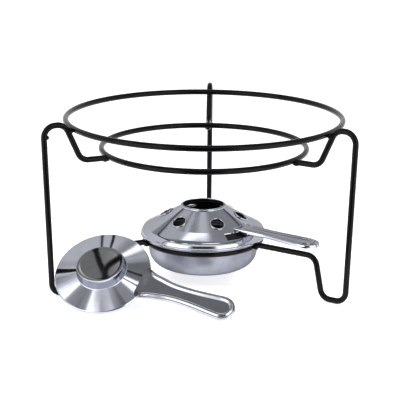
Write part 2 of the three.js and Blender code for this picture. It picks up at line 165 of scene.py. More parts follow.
def beside(line: Line, distance: float, mitre_limit: float = 0.3) -> Line:
    """The line that runs a distance to the left of a polyline.

    Args:
        line: Points of the polyline.
        distance: How far to its left, or to its right where negative.
        mitre_limit: The least cosine that a corner's mitre is worked out with, so that it stays short.

    Returns:
        One point for each point of the polyline.
    """
    points = np.array(line, float)
    steps = np.diff(points, axis=0)
    steps /= np.linalg.norm(steps, axis=1)[:, None]
    into = np.vstack([steps[:1], steps])
    out = np.vstack([steps, steps[-1:]])
    normal = np.stack([-(into + out)[:, 1], (into + out)[:, 0]], axis=1)
    normal /= np.linalg.norm(normal, axis=1)[:, None]
    cosine = normal[:, 1] * out[:, 0] - normal[:, 0] * out[:, 1]
    reach = distance / np.maximum(cosine, mitre_limit)
    moved = points + normal * reach[:, None]
    moved[points[:, 0] == 0, 0] = 0.0
    return [(float(x), float(y)) for x, y in moved]


def sheet_outline(line: Line, thickness: float, steps: int = 4) -> Line:
    """Wraps a closed outline round a sheet, with its free edges rounded.

    Args:
        line: One face of the sheet, as radius and height.
        thickness: Sheet thickness to the left of that face, or to its right where negative.
        steps: Pieces in each rounded edge.

    Returns:
        The closed outline of the sheet.
    """
    other = beside(line, thickness)[::-1]
    outline = list(line)
    for here, there, closes in ((line[-1], other[0], False), (other[-1], line[0], True)):
        if here[0] == 0:
            continue
        near, far = np.array(here), np.array(there)
        center, arm = (near + far) / 2, (near - far) / 2
        inward = np.array(line[1] if closes else line[-2]) - np.array(line[0] if closes else line[-1])
        side = np.array([-arm[1], arm[0]])
        side = side if side @ inward < 0 else -side
        bulge = [center + arm * math.cos(math.pi * k / steps) + side * math.sin(math.pi * k / steps)
                 for k in range(1, steps)]
        rounded = [(float(p[0]), float(p[1])) for p in bulge]
        if closes:
            outline = outline + other + rounded
        else:
            outline = outline + rounded
    if line[0][0] == 0:
        outline = outline + other
    return outline


@dataclass
class Surface:
    """A mesh in the making: points in millimetres, faces, and a UV pair for each face corner."""

    points: np.ndarray
    faces: list[tuple[int, ...]]
    corners: list[tuple[float, float]] = field(default_factory=list)

    def moved(self, matrix: Matrix) -> "Surface":
        """Places a copy.

        Args:
            matrix: Its place, in millimetres.

        Returns:
            The copy.
        """
        turn = np.array(matrix.to_3x3())
        shift = np.array(matrix.to_translation())
        return Surface(self.points @ turn.T + shift, self.faces, self.corners)

    def joined(self, other: "Surface") -> "Surface":
        """Joins another surface to this one.

        Args:
            other: The other surface. Neither has UV pairs.

        Returns:
            Both in one surface.
        """
        count = len(self.points)
        faces = self.faces + [tuple(count + v for v in face) for face in other.faces]
        return Surface(np.vstack([self.points, other.points]), faces)

    def mesh(self, name: str) -> bpy.types.Mesh:
        """The surface as a Blender mesh in metres, about the stand's axis.

        Args:
            name: The mesh's name.

        Returns:
            The mesh, with its UV map where the surface has one.
        """
        mesh = bpy.data.meshes.new(name)
        mesh.from_pydata((self.points * MM).tolist(), [], self.faces)
        if self.corners:
            layer = mesh.uv_layers.new(name="UVMap")
            layer.data.foreach_set("uv", np.array(self.corners, np.float32).ravel())
        mesh.update()
        return mesh


def lathe(outline: Line, segments: int) -> Surface:
    """Turns a closed outline about the Z axis.

    Args:
        outline: Radius and height points, closed on itself or with both ends on the axis.
        segments: Faces round the axis.

    Returns:
        A closed surface that faces outwards. U runs round the axis, V along the outline in centimetres.
    """
    points = np.array(outline, float)
    closed = points[0, 0] > 0 or points[-1, 0] > 0
    following = np.roll(points, -1, axis=0)
    area = float(np.sum(points[:, 0] * following[:, 1] - following[:, 0] * points[:, 1]))
    if area < 0:
        points = points[::-1]
    ends = list(range(len(points)))
    pairs = list(zip(ends, ends[1:] + ends[:1])) if closed else list(zip(ends[:-1], ends[1:]))
    vertices, rows = [], []
    for radius, height in points:
        if radius == 0:
            rows.append([len(vertices)] * segments)
            vertices.append((0.0, 0.0, height))
            continue
        rows.append(list(range(len(vertices), len(vertices) + segments)))
        for k in range(segments):
            angle = 2 * math.pi * k / segments
            vertices.append((radius * math.cos(angle), radius * math.sin(angle), height))
    pieces = np.linalg.norm(np.diff(points, axis=0), axis=1)
    along = np.concatenate([[0.0], np.cumsum(pieces)]) / MM_PER_CM
    closing_piece = 0.05
    faces, corners = [], []
    for i, j in pairs:
        first, second = along[i], along[j] if j > i else along[i] + closing_piece
        for k in range(segments):
            n = (k + 1) % segments
            ring = [(rows[i][k], k, first), (rows[i][n], k + 1, first),
                    (rows[j][n], k + 1, second), (rows[j][k], k, second)]
            kept = [c for m, c in enumerate(ring) if c[0] != ring[m - 1][0]]
            if len(kept) < 3:
                continue
            faces.append(tuple(c[0] for c in kept))
            corners += [(c[1] / segments, float(c[2])) for c in kept]
    return Surface(np.array(vertices), faces, corners)


def slab(rows: Sequence[np.ndarray], thickness: float) -> Surface:
    """Closes rows of points with the same rows lower down.

    Args:
        rows: Rows of equally many points, in millimetres.
        thickness: How far down the lower rows lie.

    Returns:
        The closed surface.
    """
    top = np.stack(rows)
    layers, count = top.shape[:2]
    points = np.vstack([top.reshape(-1, 3), (top - [0, 0, thickness]).reshape(-1, 3)])
    under = layers * count
    faces = []
    for j in range(layers - 1):
        for i in range(count - 1):
            a, b = j * count + i, j * count + i + 1
            faces.append((a, b, b + count, a + count))
            faces.append((under + a, under + a + count, under + b + count, under + b))
    for i in range(count - 1):
        faces.append((under + i, under + i + 1, i + 1, i))
    for j in range(layers - 1):
        a, b = j * count, (j + 1) * count
        faces.append((a, b, under + b, under + a))
        c, d = a + count - 1, b + count - 1
        faces.append((c, under + c, under + d, d))
    return Surface(points, faces)


def block(low: Sequence[float], high: Sequence[float]) -> Surface:
    """Builds a block.

    Args:
        low: Its corner with the lowest coordinates.
        high: Its corner with the greatest coordinates.

    Returns:
        The closed surface.
    """
    plan = ((low[0], low[1]), (high[0], low[1]), (high[0], high[1]), (low[0], high[1]))
    points = np.array([(x, y, z) for z in (low[2], high[2]) for x, y in plan], float)
    faces = [(0, 3, 2, 1), (4, 5, 6, 7), (0, 1, 5, 4), (1, 2, 6, 5), (2, 3, 7, 6), (3, 0, 4, 7)]
    return Surface(points, faces)


def welded_shut(mesh: bpy.types.Mesh, distance: float = 0.00001) -> bpy.types.Mesh:
    """Merges the doubled vertices of a mesh and turns its faces outwards.

    Args:
        mesh: The mesh, changed in place.
        distance: Vertices nearer than this become one, in metres.

    Returns:
        The same mesh.
    """
    work = bmesh.new()
    work.from_mesh(mesh)
    bmesh.ops.remove_doubles(work, verts=work.verts, dist=distance)
    bmesh.ops.dissolve_degenerate(work, edges=work.edges, dist=distance / 10)
    bmesh.ops.recalc_face_normals(work, faces=work.faces)
    work.to_mesh(mesh)
    work.free()
    return mesh


# Groups of nodes


def add_node(
    tree: bpy.types.NodeTree, kind: str, sockets: dict[Any, Any] | None = None, **settings: Any
) -> bpy.types.Node:
    """Adds a node to a tree.

    Args:
        tree: The tree.
        kind: The node's type name.
        sockets: For each input, by name or number, a value or the output socket that feeds it.
        **settings: Properties of the node itself.

    Returns:
        The node.
    """
    node = tree.nodes.new(kind)
    for key, value in settings.items():
        setattr(node, key, value)
    for key, value in (sockets or {}).items():
        if isinstance(value, bpy.types.NodeSocket):
            tree.links.new(value, node.inputs[key])
        else:
            node.inputs[key].default_value = value
    return node


class NodeGroup:
    """A node group in the making."""

    def __init__(self, name: str, kind: str) -> None:
        """Starts an empty group of a kind of tree."""
        self.tree = bpy.data.node_groups.new(name, kind)

    def socket(self, label: str, in_out: str, kind: str, value: Any = None) -> None:
        """Gives the group an input or an output.

        Args:
            label: The socket's name.
            in_out: Which of the two it is, INPUT or OUTPUT.
            kind: The socket's type name.
            value: Its first value, or None.
        """
        made = self.tree.interface.new_socket(name=label, in_out=in_out, socket_type=kind)
        if value is not None:
            made.default_value = value

    def add(self, kind: str, sockets: dict[Any, Any] | None = None, **settings: Any) -> bpy.types.Node:
        """Adds a node, as in add_node."""
        return add_node(self.tree, kind, sockets, **settings)

    def math(self, operation: str, *values: Any) -> bpy.types.NodeSocket:
        """Adds a Math node on values or sockets and returns its result."""
        return self.add("ShaderNodeMath", dict(enumerate(values)), operation=operation).outputs[0]


class ShapeTree(NodeGroup):
    """A Geometry Nodes group with named inputs, ended by Realize Instances and Set Material."""

    def __init__(self, pattern: Pattern, inputs: dict[str, tuple[str, Any]]) -> None:
        """Starts the group.

        Args:
            pattern: What the group makes.
            inputs: For each input its socket type and its first value, or None.
        """
        super().__init__(pattern.value, "GeometryNodeTree")
        self.socket("Geometry", "INPUT", "NodeSocketGeometry")
        for label, (kind, value) in inputs.items():
            self.socket(label, "INPUT", kind, value)
        self.socket("Material", "INPUT", "NodeSocketMaterial")
        self.socket("Geometry", "OUTPUT", "NodeSocketGeometry")
        self.start = self.tree.nodes.new("NodeGroupInput")

    def lumpy(self, geometry: bpy.types.NodeSocket, scale: Any, depth: Any) -> bpy.types.NodeSocket:
        """Pushes a shape's points in and out along their normals by a soft noise.

        Args:
            geometry: The socket that gives the shape.
            scale: The noise's scale, or the socket that gives it.
            depth: From the deepest to the highest place, or the socket that gives it.

        Returns:
            The socket that gives the lumpy shape.
        """
        middle_of_noise = 0.5
        noise = self.add("ShaderNodeTexNoise", {"Scale": scale, "Detail": 1.0})
        height = self.math("MULTIPLY", self.math("SUBTRACT", noise.outputs[0], middle_of_noise), depth)
        normal = self.add("GeometryNodeInputNormal")
        push = self.add("ShaderNodeVectorMath", {0: normal.outputs[0], "Scale": height}, operation="SCALE")
        pushed = self.add("GeometryNodeSetPosition", {"Geometry": geometry, "Offset": push.outputs[0]})
        return pushed.outputs[0]

    def end(self, geometry: bpy.types.NodeSocket) -> None:
        """Ends the group: instances become real and take the material.

        Args:
            geometry: The socket that gives the finished shape.
        """
        real = self.add("GeometryNodeRealizeInstances", {"Geometry": geometry})
        painted = self.add("GeometryNodeSetMaterial", {
            "Geometry": real.outputs[0], "Material": self.start.outputs["Material"],
        })
        self.add("NodeGroupOutput", {0: painted.outputs[0]})

    def grow(self, mesh: bpy.types.Mesh, values: dict[str, Any]) -> bpy.types.Mesh:
        """Runs the group on a mesh.

        Args:
            mesh: The mesh that goes in.
            values: The inputs' values, by name.

        Returns:
            The plain mesh that comes out.
        """
        carrier = linked(mesh.name, mesh)
        modifier = carrier.modifiers.new("shape", "NODES")
        modifier.node_group = self.tree
        for item in self.tree.interface.items_tree:
            if item.item_type == "SOCKET" and item.in_out == "INPUT" and item.name in values:
                modifier[item.identifier] = values[item.name]
        graph = bpy.context.evaluated_depsgraph_get()
        grown = bpy.data.meshes.new_from_object(
            carrier.evaluated_get(graph), preserve_all_data_layers=True, depsgraph=graph
        )
        carrier.modifiers.remove(modifier)
        bpy.data.objects.remove(carrier)
        return grown


def wire_tree() -> ShapeTree:
    """Builds the tree that lays a round, enamelled wire along the edges of a mesh.

    Returns:
        The tree.
    """
    tree = ShapeTree(Pattern.WIRE, {
        "Wire radius": ("NodeSocketFloat", 0.00225),
        "Sides": ("NodeSocketInt", 20),
        "Coat depth": ("NodeSocketFloat", 0.00004),
        "Coat scale": ("NodeSocketFloat", 160.0),
    })
    start = tree.start.outputs
    path = tree.add("GeometryNodeMeshToCurve", {"Mesh": start["Geometry"]})
    section = tree.add("GeometryNodeCurvePrimitiveCircle", {
        "Resolution": start["Sides"], "Radius": start["Wire radius"],
    })
    swept = tree.add("GeometryNodeCurveToMesh", {
        "Curve": path.outputs[0], "Profile Curve": section.outputs[0], "Fill Caps": True,
    })
    tree.end(tree.lumpy(swept.outputs[0], start["Coat scale"], start["Coat depth"]))
    return tree


def weld_tree() -> ShapeTree:
    """Builds the tree that puts a lumpy weld bead on each point of a mesh.

    Returns:
        The tree.
    """
    whole_turn = 6.28
    tree = ShapeTree(Pattern.WELD, {
        "Bead radius": ("NodeSocketFloat", 0.003),
        "Lump depth": ("NodeSocketFloat", 0.0009),
        "Lump scale": ("NodeSocketFloat", 420.0),
        "Seed": ("NodeSocketInt", 7),
    })
    start = tree.start.outputs
    bead = tree.add("GeometryNodeMeshIcoSphere", {"Radius": start["Bead radius"], "Subdivisions": 4})
    size = tree.add("GeometryNodeInputNamedAttribute", {"Name": "bead_size"}, data_type="FLOAT")
    spin = tree.add("FunctionNodeRandomValue", {
        "Min": (0.0, 0.0, 0.0), "Max": (whole_turn, whole_turn, whole_turn), "Seed": start["Seed"],
    }, data_type="FLOAT_VECTOR")
    placed = tree.add("GeometryNodeInstanceOnPoints", {
        "Points": start["Geometry"], "Instance": bead.outputs[0],
        "Rotation": spin.outputs[0], "Scale": size.outputs[0],
    })
    real = tree.add("GeometryNodeRealizeInstances", {"Geometry": placed.outputs[0]})
    tree.end(tree.lumpy(real.outputs[0], start["Lump scale"], start["Lump depth"]))
    return tree


def gauze_tree() -> ShapeTree:
    """Builds the tree that weaves a round disc of plain wire cloth.

    Returns:
        The tree.
    """
    points_per_pitch, wire_sides = 4.0, 5
    tree = ShapeTree(Pattern.GAUZE, {
        "Disc radius": ("NodeSocketFloat", 0.044),
        "Pitch": ("NodeSocketFloat", 0.002),
        "Wires": ("NodeSocketInt", 45),
        "Wire radius": ("NodeSocketFloat", 0.0003),
        "Wave height": ("NodeSocketFloat", 0.00032),
    })
    start = tree.start.outputs
    radius, pitch = start["Disc radius"], start["Pitch"]
    low = tree.math("MULTIPLY", radius, -1.0)
    corner = tree.add("ShaderNodeCombineXYZ", {"X": low})
    step = tree.add("ShaderNodeCombineXYZ", {"X": pitch})
    row = tree.add("GeometryNodeMeshLine", {
        "Count": start["Wires"], "Start Location": corner.outputs[0], "Offset": step.outputs[0],
    }, mode="OFFSET")
    foot = tree.add("ShaderNodeCombineXYZ", {"Y": low})
    head = tree.add("ShaderNodeCombineXYZ", {"Y": radius})
    thread = tree.add("GeometryNodeCurvePrimitiveLine", {"Start": foot.outputs[0], "End": head.outputs[0]})
    pitches = tree.math("SUBTRACT", start["Wires"], 1.0)
    count = tree.math("ADD", tree.math("MULTIPLY", pitches, points_per_pitch), 1.0)
    fine = tree.add("GeometryNodeResampleCurve", {"Curve": thread.outputs[0], "Count": count})
    rows = tree.add("GeometryNodeInstanceOnPoints", {"Points": row.outputs[0], "Instance": fine.outputs[0]})
    warp = tree.add("GeometryNodeRealizeInstances", {"Geometry": rows.outputs[0]})
    place = tree.add("ShaderNodeSeparateXYZ", {0: tree.add("GeometryNodeInputPosition").outputs[0]})
    across = tree.math("DIVIDE", tree.math("ADD", place.outputs["X"], radius), pitch)
    along = tree.math("DIVIDE", tree.math("ADD", place.outputs["Y"], radius), pitch)
    phase = tree.math("MULTIPLY", tree.math("ADD", tree.math("ROUND", across), along), math.pi)
    wave = tree.math("MULTIPLY", tree.math("COSINE", phase), start["Wave height"])
    rise = tree.add("ShaderNodeCombineXYZ", {"Z": wave})
    woven = tree.add("GeometryNodeSetPosition", {"Geometry": warp.outputs[0], "Offset": rise.outputs[0]})
    reach = tree.math("SQRT", tree.math("ADD", tree.math("POWER", place.outputs["X"], 2.0),
                                        tree.math("POWER", place.outputs["Y"], 2.0)))
    outside = tree.math("GREATER_THAN", reach, radius)
    cut = tree.add("GeometryNodeDeleteGeometry", {"Geometry": woven.outputs[0], "Selection": outside})
    weft = tree.add("GeometryNodeTransform", {
        "Geometry": cut.outputs[0], "Rotation": (0.0, 0.0, math.pi / 2), "Scale": (1.0, 1.0, -1.0),
    })
    both = tree.add("GeometryNodeJoinGeometry", {"Geometry": cut.outputs[0]})
    tree.tree.links.new(weft.outputs[0], both.inputs["Geometry"])
    section = tree.add("GeometryNodeCurvePrimitiveCircle", {
        "Resolution": wire_sides, "Radius": start["Wire radius"],
    })
    cloth = tree.add("GeometryNodeCurveToMesh", {
        "Curve": both.outputs[0], "Profile Curve": section.outputs[0], "Fill Caps": True,
    })
    tree.end(cloth.outputs[0])
    return tree


def vent_tree() -> ShapeTree:
    """Builds the tree that punches round vents through a cone and sets a rolled lip round each.

    Returns:
        The tree.
    """
    vent_sides, lip_sides = 48, 12
    tree = ShapeTree(Pattern.VENTS, {
        "Vents": ("NodeSocketInt", 6),
        "First angle": ("NodeSocketFloat", 0.0),
        "Reach": ("NodeSocketFloat", 0.03),
        "Height": ("NodeSocketFloat", 0.056),
        "Slope": ("NodeSocketFloat", 0.48),
        "Vent radius": ("NodeSocketFloat", 0.0053),
        "Punch depth": ("NodeSocketFloat", 0.006),
        "Lip radius": ("NodeSocketFloat", 0.0004),
        "Slot cutter": ("NodeSocketObject", None),
    })
    start = tree.start.outputs
    shift = tree.add("ShaderNodeCombineXYZ", {"X": start["Reach"], "Z": start["Height"]})
    lean = tree.add("ShaderNodeCombineXYZ", {"Y": start["Slope"]})
    number = tree.add("GeometryNodeInputIndex")
    pitch = tree.math("DIVIDE", 2 * math.pi, start["Vents"])
    angle = tree.math("ADD", tree.math("MULTIPLY", number.outputs[0], pitch), start["First angle"])
    turn = tree.add("ShaderNodeCombineXYZ", {"Z": angle})
    spots = tree.add("GeometryNodePoints", {"Count": start["Vents"]})
    punch = tree.add("GeometryNodeMeshCylinder", {
        "Vertices": vent_sides, "Radius": start["Vent radius"], "Depth": start["Punch depth"],
    })
    ring = tree.add("GeometryNodeCurvePrimitiveCircle", {
        "Resolution": vent_sides, "Radius": start["Vent radius"],
    })
    section = tree.add("GeometryNodeCurvePrimitiveCircle", {
        "Resolution": lip_sides, "Radius": start["Lip radius"],
    })
    lip = tree.add("GeometryNodeCurveToMesh", {
        "Curve": ring.outputs[0], "Profile Curve": section.outputs[0],
    })
    sets = []
    for piece in (punch.outputs["Mesh"], lip.outputs[0]):
        leaning = tree.add("GeometryNodeTransform", {
            "Geometry": piece, "Translation": shift.outputs[0], "Rotation": lean.outputs[0],
        })
        round_axis = tree.add("GeometryNodeInstanceOnPoints", {
            "Points": spots.outputs[0], "Instance": leaning.outputs[0], "Rotation": turn.outputs[0],
        })
        sets.append(tree.add("GeometryNodeRealizeInstances", {"Geometry": round_axis.outputs[0]}))
    slot_cutter = tree.add("GeometryNodeObjectInfo", {"Object": start["Slot cutter"]})
    cut = tree.add("GeometryNodeMeshBoolean", {
        "Mesh 1": start["Geometry"], "Mesh 2": sets[0].outputs[0],
    }, operation="DIFFERENCE", solver="EXACT")
    tree.tree.links.new(slot_cutter.outputs["Geometry"], cut.inputs["Mesh 2"])
    both = tree.add("GeometryNodeJoinGeometry", {"Geometry": cut.outputs["Mesh"]})
    tree.tree.links.new(sets[1].outputs[0], both.inputs["Geometry"])
    tree.end(both.outputs[0])
    return tree


# Finishes


class EffectGroup(NodeGroup):
    """A shader node group with named inputs and outputs."""

    def __init__(self, name: str, inputs: dict[str, float], outputs: Sequence[str]) -> None:
        """Starts the group.

        Args:
            name: The group's name.
            inputs: The number inputs and their first values.
            outputs: The names of the number outputs.
        """
        super().__init__(name, "ShaderNodeTree")
        for label, value in inputs.items():
            self.socket(label, "INPUT", "NodeSocketFloat", value)
        for label in outputs:
            self.socket(label, "OUTPUT", "NodeSocketFloat")
        self.start = self.tree.nodes.new("NodeGroupInput").outputs
        self.result = self.tree.nodes.new("NodeGroupOutput").inputs

    def give(self, label: str, socket: bpy.types.NodeSocket) -> None:
        """Feeds an output of the group."""
        self.tree.links.new(socket, self.result[label])


def lathe_marks() -> EffectGroup:
    """Builds the marks of turning and polishing, from a turned piece's own UV map.

    Returns:
        The group, which gives rings along V and rays round U.
    """
    group = EffectGroup("lathe marks", {"Rings": 26.0, "Rays": 3.0}, ("Rings", "Rays"))
    uv = group.add("ShaderNodeTexCoord").outputs["UV"]
    place = group.add("ShaderNodeSeparateXYZ", {0: uv})
    ring_place = group.add("ShaderNodeCombineXYZ", {
        "X": group.math("MULTIPLY", place.outputs["Y"], group.start["Rings"]),
    })
    rings = group.add("ShaderNodeTexNoise", {"Vector": ring_place.outputs[0], "Scale": 1.0, "Detail": 3.0})
    angle = group.math("MULTIPLY", place.outputs["X"], 2 * math.pi)
    ray_place = group.add("ShaderNodeCombineXYZ", {
        "X": group.math("MULTIPLY", group.math("COSINE", angle), group.start["Rays"]),
        "Y": group.math("MULTIPLY", group.math("SINE", angle), group.start["Rays"]),
        "Z": group.math("MULTIPLY", place.outputs["Y"], 0.5),
    })
    rays = group.add("ShaderNodeTexNoise", {"Vector": ray_place.outputs[0], "Scale": 1.0, "Detail": 2.0})
    group.give("Rings", rings.outputs[0])
    group.give("Rays", rays.outputs[0])
    return group


def handling_marks() -> EffectGroup:
    """Builds smudges and fine specks that follow the object's own coordinates.

    Returns:
        The group.
    """
    group = EffectGroup(
        "handling marks", {"Smudge scale": 40.0, "Speck scale": 900.0}, ("Smudge", "Speck")
    )
    place = group.add("ShaderNodeTexCoord").outputs["Object"]
    smudge = group.add("ShaderNodeTexNoise", {
        "Vector": place, "Scale": group.start["Smudge scale"], "Detail": 3.0, "Roughness": 0.55,
    })
    speck = group.add("ShaderNodeTexNoise", {
        "Vector": place, "Scale": group.start["Speck scale"], "Detail": 2.0,
    })
    group.give("Smudge", smudge.outputs[0])
    group.give("Speck", speck.outputs[0])
    return group


@dataclass(frozen=True)
class Marks:
    """The shared groups of marks that the finishes are made with."""

    lathe: EffectGroup
    handling: EffectGroup


@dataclass(frozen=True)
class Finish:
    """A finish: its colours, how sharp it reflects, and how strong its marks are.

    Colours and roughnesses go from the first to the second over the marks. Edge is the tone of what metal
    mirrors at a grazing angle.
    """

    name: str
    colors: tuple[tuple[float, float, float], tuple[float, float, float]]
    roughness: tuple[float, float]
    metallic: float = 1.0
    bump: float = 0.0
    specular: float = 0.5
    edge: float = 1.0
    smudge_scale: float = 40.0
    speck_scale: float = 900.0
    rings: float = 0.0
    rays: float = 3.0

    def material(self, marks: Marks) -> bpy.types.Material:
        """Builds the finish as a material.

        Args:
            marks: The shared groups of marks.

        Returns:
            The material.
        """
        noise_low, noise_high = 0.3, 0.7
        bump_distance = 0.1 * MM
        ray_share = 0.5
        made = bpy.data.materials.new(self.name)
        made.use_nodes = True
        tree = made.node_tree
        shader = tree.nodes["Principled BSDF"]
        shader.inputs["Metallic"].default_value = self.metallic
        shader.inputs["Specular IOR Level"].default_value = self.specular
        shader.inputs["Specular Tint"].default_value = (self.edge, self.edge, self.edge, 1)
        handled = add_node(tree, "ShaderNodeGroup", node_tree=marks.handling.tree)
        handled.inputs["Smudge scale"].default_value = self.smudge_scale
        handled.inputs["Speck scale"].default_value = self.speck_scale
        tone, grain = handled.outputs["Smudge"], handled.outputs["Speck"]
        if self.rings:
            turned = add_node(tree, "ShaderNodeGroup", node_tree=marks.lathe.tree)
            turned.inputs["Rings"].default_value = self.rings
            turned.inputs["Rays"].default_value = self.rays
            tone = add_node(tree, "ShaderNodeMix", {
                "Factor": ray_share, "A": tone, "B": turned.outputs["Rays"],
            }, data_type="FLOAT").outputs["Result"]
            grain = turned.outputs["Rings"]
        shade = add_node(tree, "ShaderNodeValToRGB", {"Fac": tone})
        for stop, place, color in zip(shade.color_ramp.elements, (noise_low, noise_high), self.colors):
            stop.position = place
            stop.color = (*color, 1)
        tree.links.new(shade.outputs["Color"], shader.inputs["Base Color"])
        gloss = add_node(tree, "ShaderNodeMapRange", {
            "Value": tone, "From Min": noise_low, "From Max": noise_high,
            "To Min": self.roughness[0], "To Max": self.roughness[1],
        })
        tree.links.new(gloss.outputs["Result"], shader.inputs["Roughness"])
        if self.bump:
            bump = add_node(tree, "ShaderNodeBump", {
                "Height": grain, "Strength": self.bump, "Distance": bump_distance,
            })
            tree.links.new(bump.outputs["Normal"], shader.inputs["Normal"])
        return made


ENAMEL = Finish(
    "black enamel", ((0.001, 0.001, 0.0015), (0.003, 0.003, 0.004)), (0.1, 0.18),
    metallic=0.0, bump=0.12, specular=0.12, smudge_scale=60, speck_scale=300,
)
POLISHED = Finish(
    "polished steel", ((0.4, 0.415, 0.47), (0.48, 0.495, 0.56)), (0.08, 0.14),
    bump=0.06, edge=0.6, rings=60.0,
)
BRIGHT = Finish(
    "bright pressed lid steel", ((0.46, 0.475, 0.54), (0.56, 0.575, 0.65)), (0.05, 0.09),
    bump=0.06, edge=0.45, rings=50.0,
)
# A darker copy of the lid's steel for the flat crown: a painted dark reflection.
CROWN_PAINTED_REFLECTION = Finish(
    "flat crown steel", ((0.27, 0.275, 0.285), (0.32, 0.325, 0.335)), (0.04, 0.07),
    bump=0.03, edge=0.45, rings=50.0,
)
PRESSED = Finish(
    "pressed bright steel", ((0.46, 0.47, 0.53), (0.54, 0.55, 0.61)), (0.06, 0.11),
    bump=0.05, edge=0.3, smudge_scale=55, speck_scale=700,
)
# The wide, broad changes of tone stand in for the pan's reflections: a painted reflection, laid at random
# over the turning marks.
SATIN = Finish(
    "satin steel", ((0.15, 0.155, 0.185), (0.4, 0.415, 0.48)), (0.26, 0.36),
    bump=0.1, edge=0.4, rings=80.0, rays=1.4,
)
# Near-black steel of painted shade: the shade inside the burner, and at the cover's foot a painted shadow
# and reflection of the black ring.
PAINTED_SHADE_STEEL = Finish(
    "heat-darkened steel", ((0.02, 0.02, 0.022), (0.06, 0.058, 0.06)), (0.4, 0.55), bump=0.2, rings=40.0,
)
# Dark wire cloth: partly the cloth's own darker tone, partly painted shade inside the burner.
GAUZE = Finish(
    "wire cloth steel", ((0.06, 0.058, 0.056), (0.14, 0.14, 0.14)), (0.34, 0.46), speck_scale=1200,
)
# The white wool is coloured near-black, as painted shade inside the burner.
WOOL_PAINTED_SHADE = Finish(
    "smoked mineral wool", ((0.05, 0.048, 0.045), (0.14, 0.135, 0.13)), (0.9, 1.0),
    metallic=0.0, bump=0.8, speck_scale=1500,
)
FINISHES = (ENAMEL, POLISHED, BRIGHT, CROWN_PAINTED_REFLECTION, PRESSED, SATIN, PAINTED_SHADE_STEEL, GAUZE, WOOL_PAINTED_SHADE)


@dataclass
class Workshop:
    """Holds the finishes and the shape trees, and sets finished meshes on their bodies."""

    finishes: dict[str, bpy.types.Material] = field(default_factory=dict)
    trees: dict[Pattern, ShapeTree] = field(default_factory=dict)

    def __post_init__(self) -> None:
        """Builds the shared groups, finishes and trees."""
        marks = Marks(lathe_marks(), handling_marks())
        for finish in FINISHES:
            self.finishes[finish.name] = finish.material(marks)
        self.trees = {
            Pattern.WIRE: wire_tree(), Pattern.WELD: weld_tree(),
            Pattern.GAUZE: gauze_tree(), Pattern.VENTS: vent_tree(),
        }

    def set_down(
        self, mesh: bpy.types.Mesh, name: str, body: Body, slot: Slot, stands_for: Sequence[str],
        finish: Finish | None = None, sharp: float = 40.0,
    ) -> bpy.types.Object:
        """Makes a finished object of a mesh that lies about the stand's axis.

        Args:
            mesh: The mesh, in metres.
            name: The object's name.
            body: The body that it rides on.
            slot: The record's slot of its finish; not used.
            stands_for: The CAD nodes that it replaces.
            finish: Its finish, or None where the mesh has its material.
            sharp: Edges that turn by more than this many degrees stay sharp.

        Returns:
            The object, at the origin, with its place in its mesh.
        """
        mesh.transform(Matrix.Translation(AXIS))
        if finish is not None:
            mesh.materials.clear()
            mesh.materials.append(self.finishes[finish.name])
        mesh.polygons.foreach_set("use_smooth", [True] * len(mesh.polygons))
        mesh.set_sharp_from_angle(angle=math.radians(sharp))
        mesh.name = name
        piece = linked(name, mesh)
        if stands_for:
            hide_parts(*stands_for)
        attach(piece, body.value)
        LOG.info("%s: %d faces on %s", name, len(mesh.polygons), body.value)
        return piece


# The stand


@dataclass(frozen=True)
class Weld:
    """A weld bead: how far out and up from a ring's wire it sits, and its share of a full bead."""

    out: float
    up: float
    size: float

    def at(self, ring: tuple[float, float]) -> tuple[float, float, float]:
        """The bead's radius, height and size at a ring."""
        return ring[0] + self.out, ring[1] + self.up, self.size


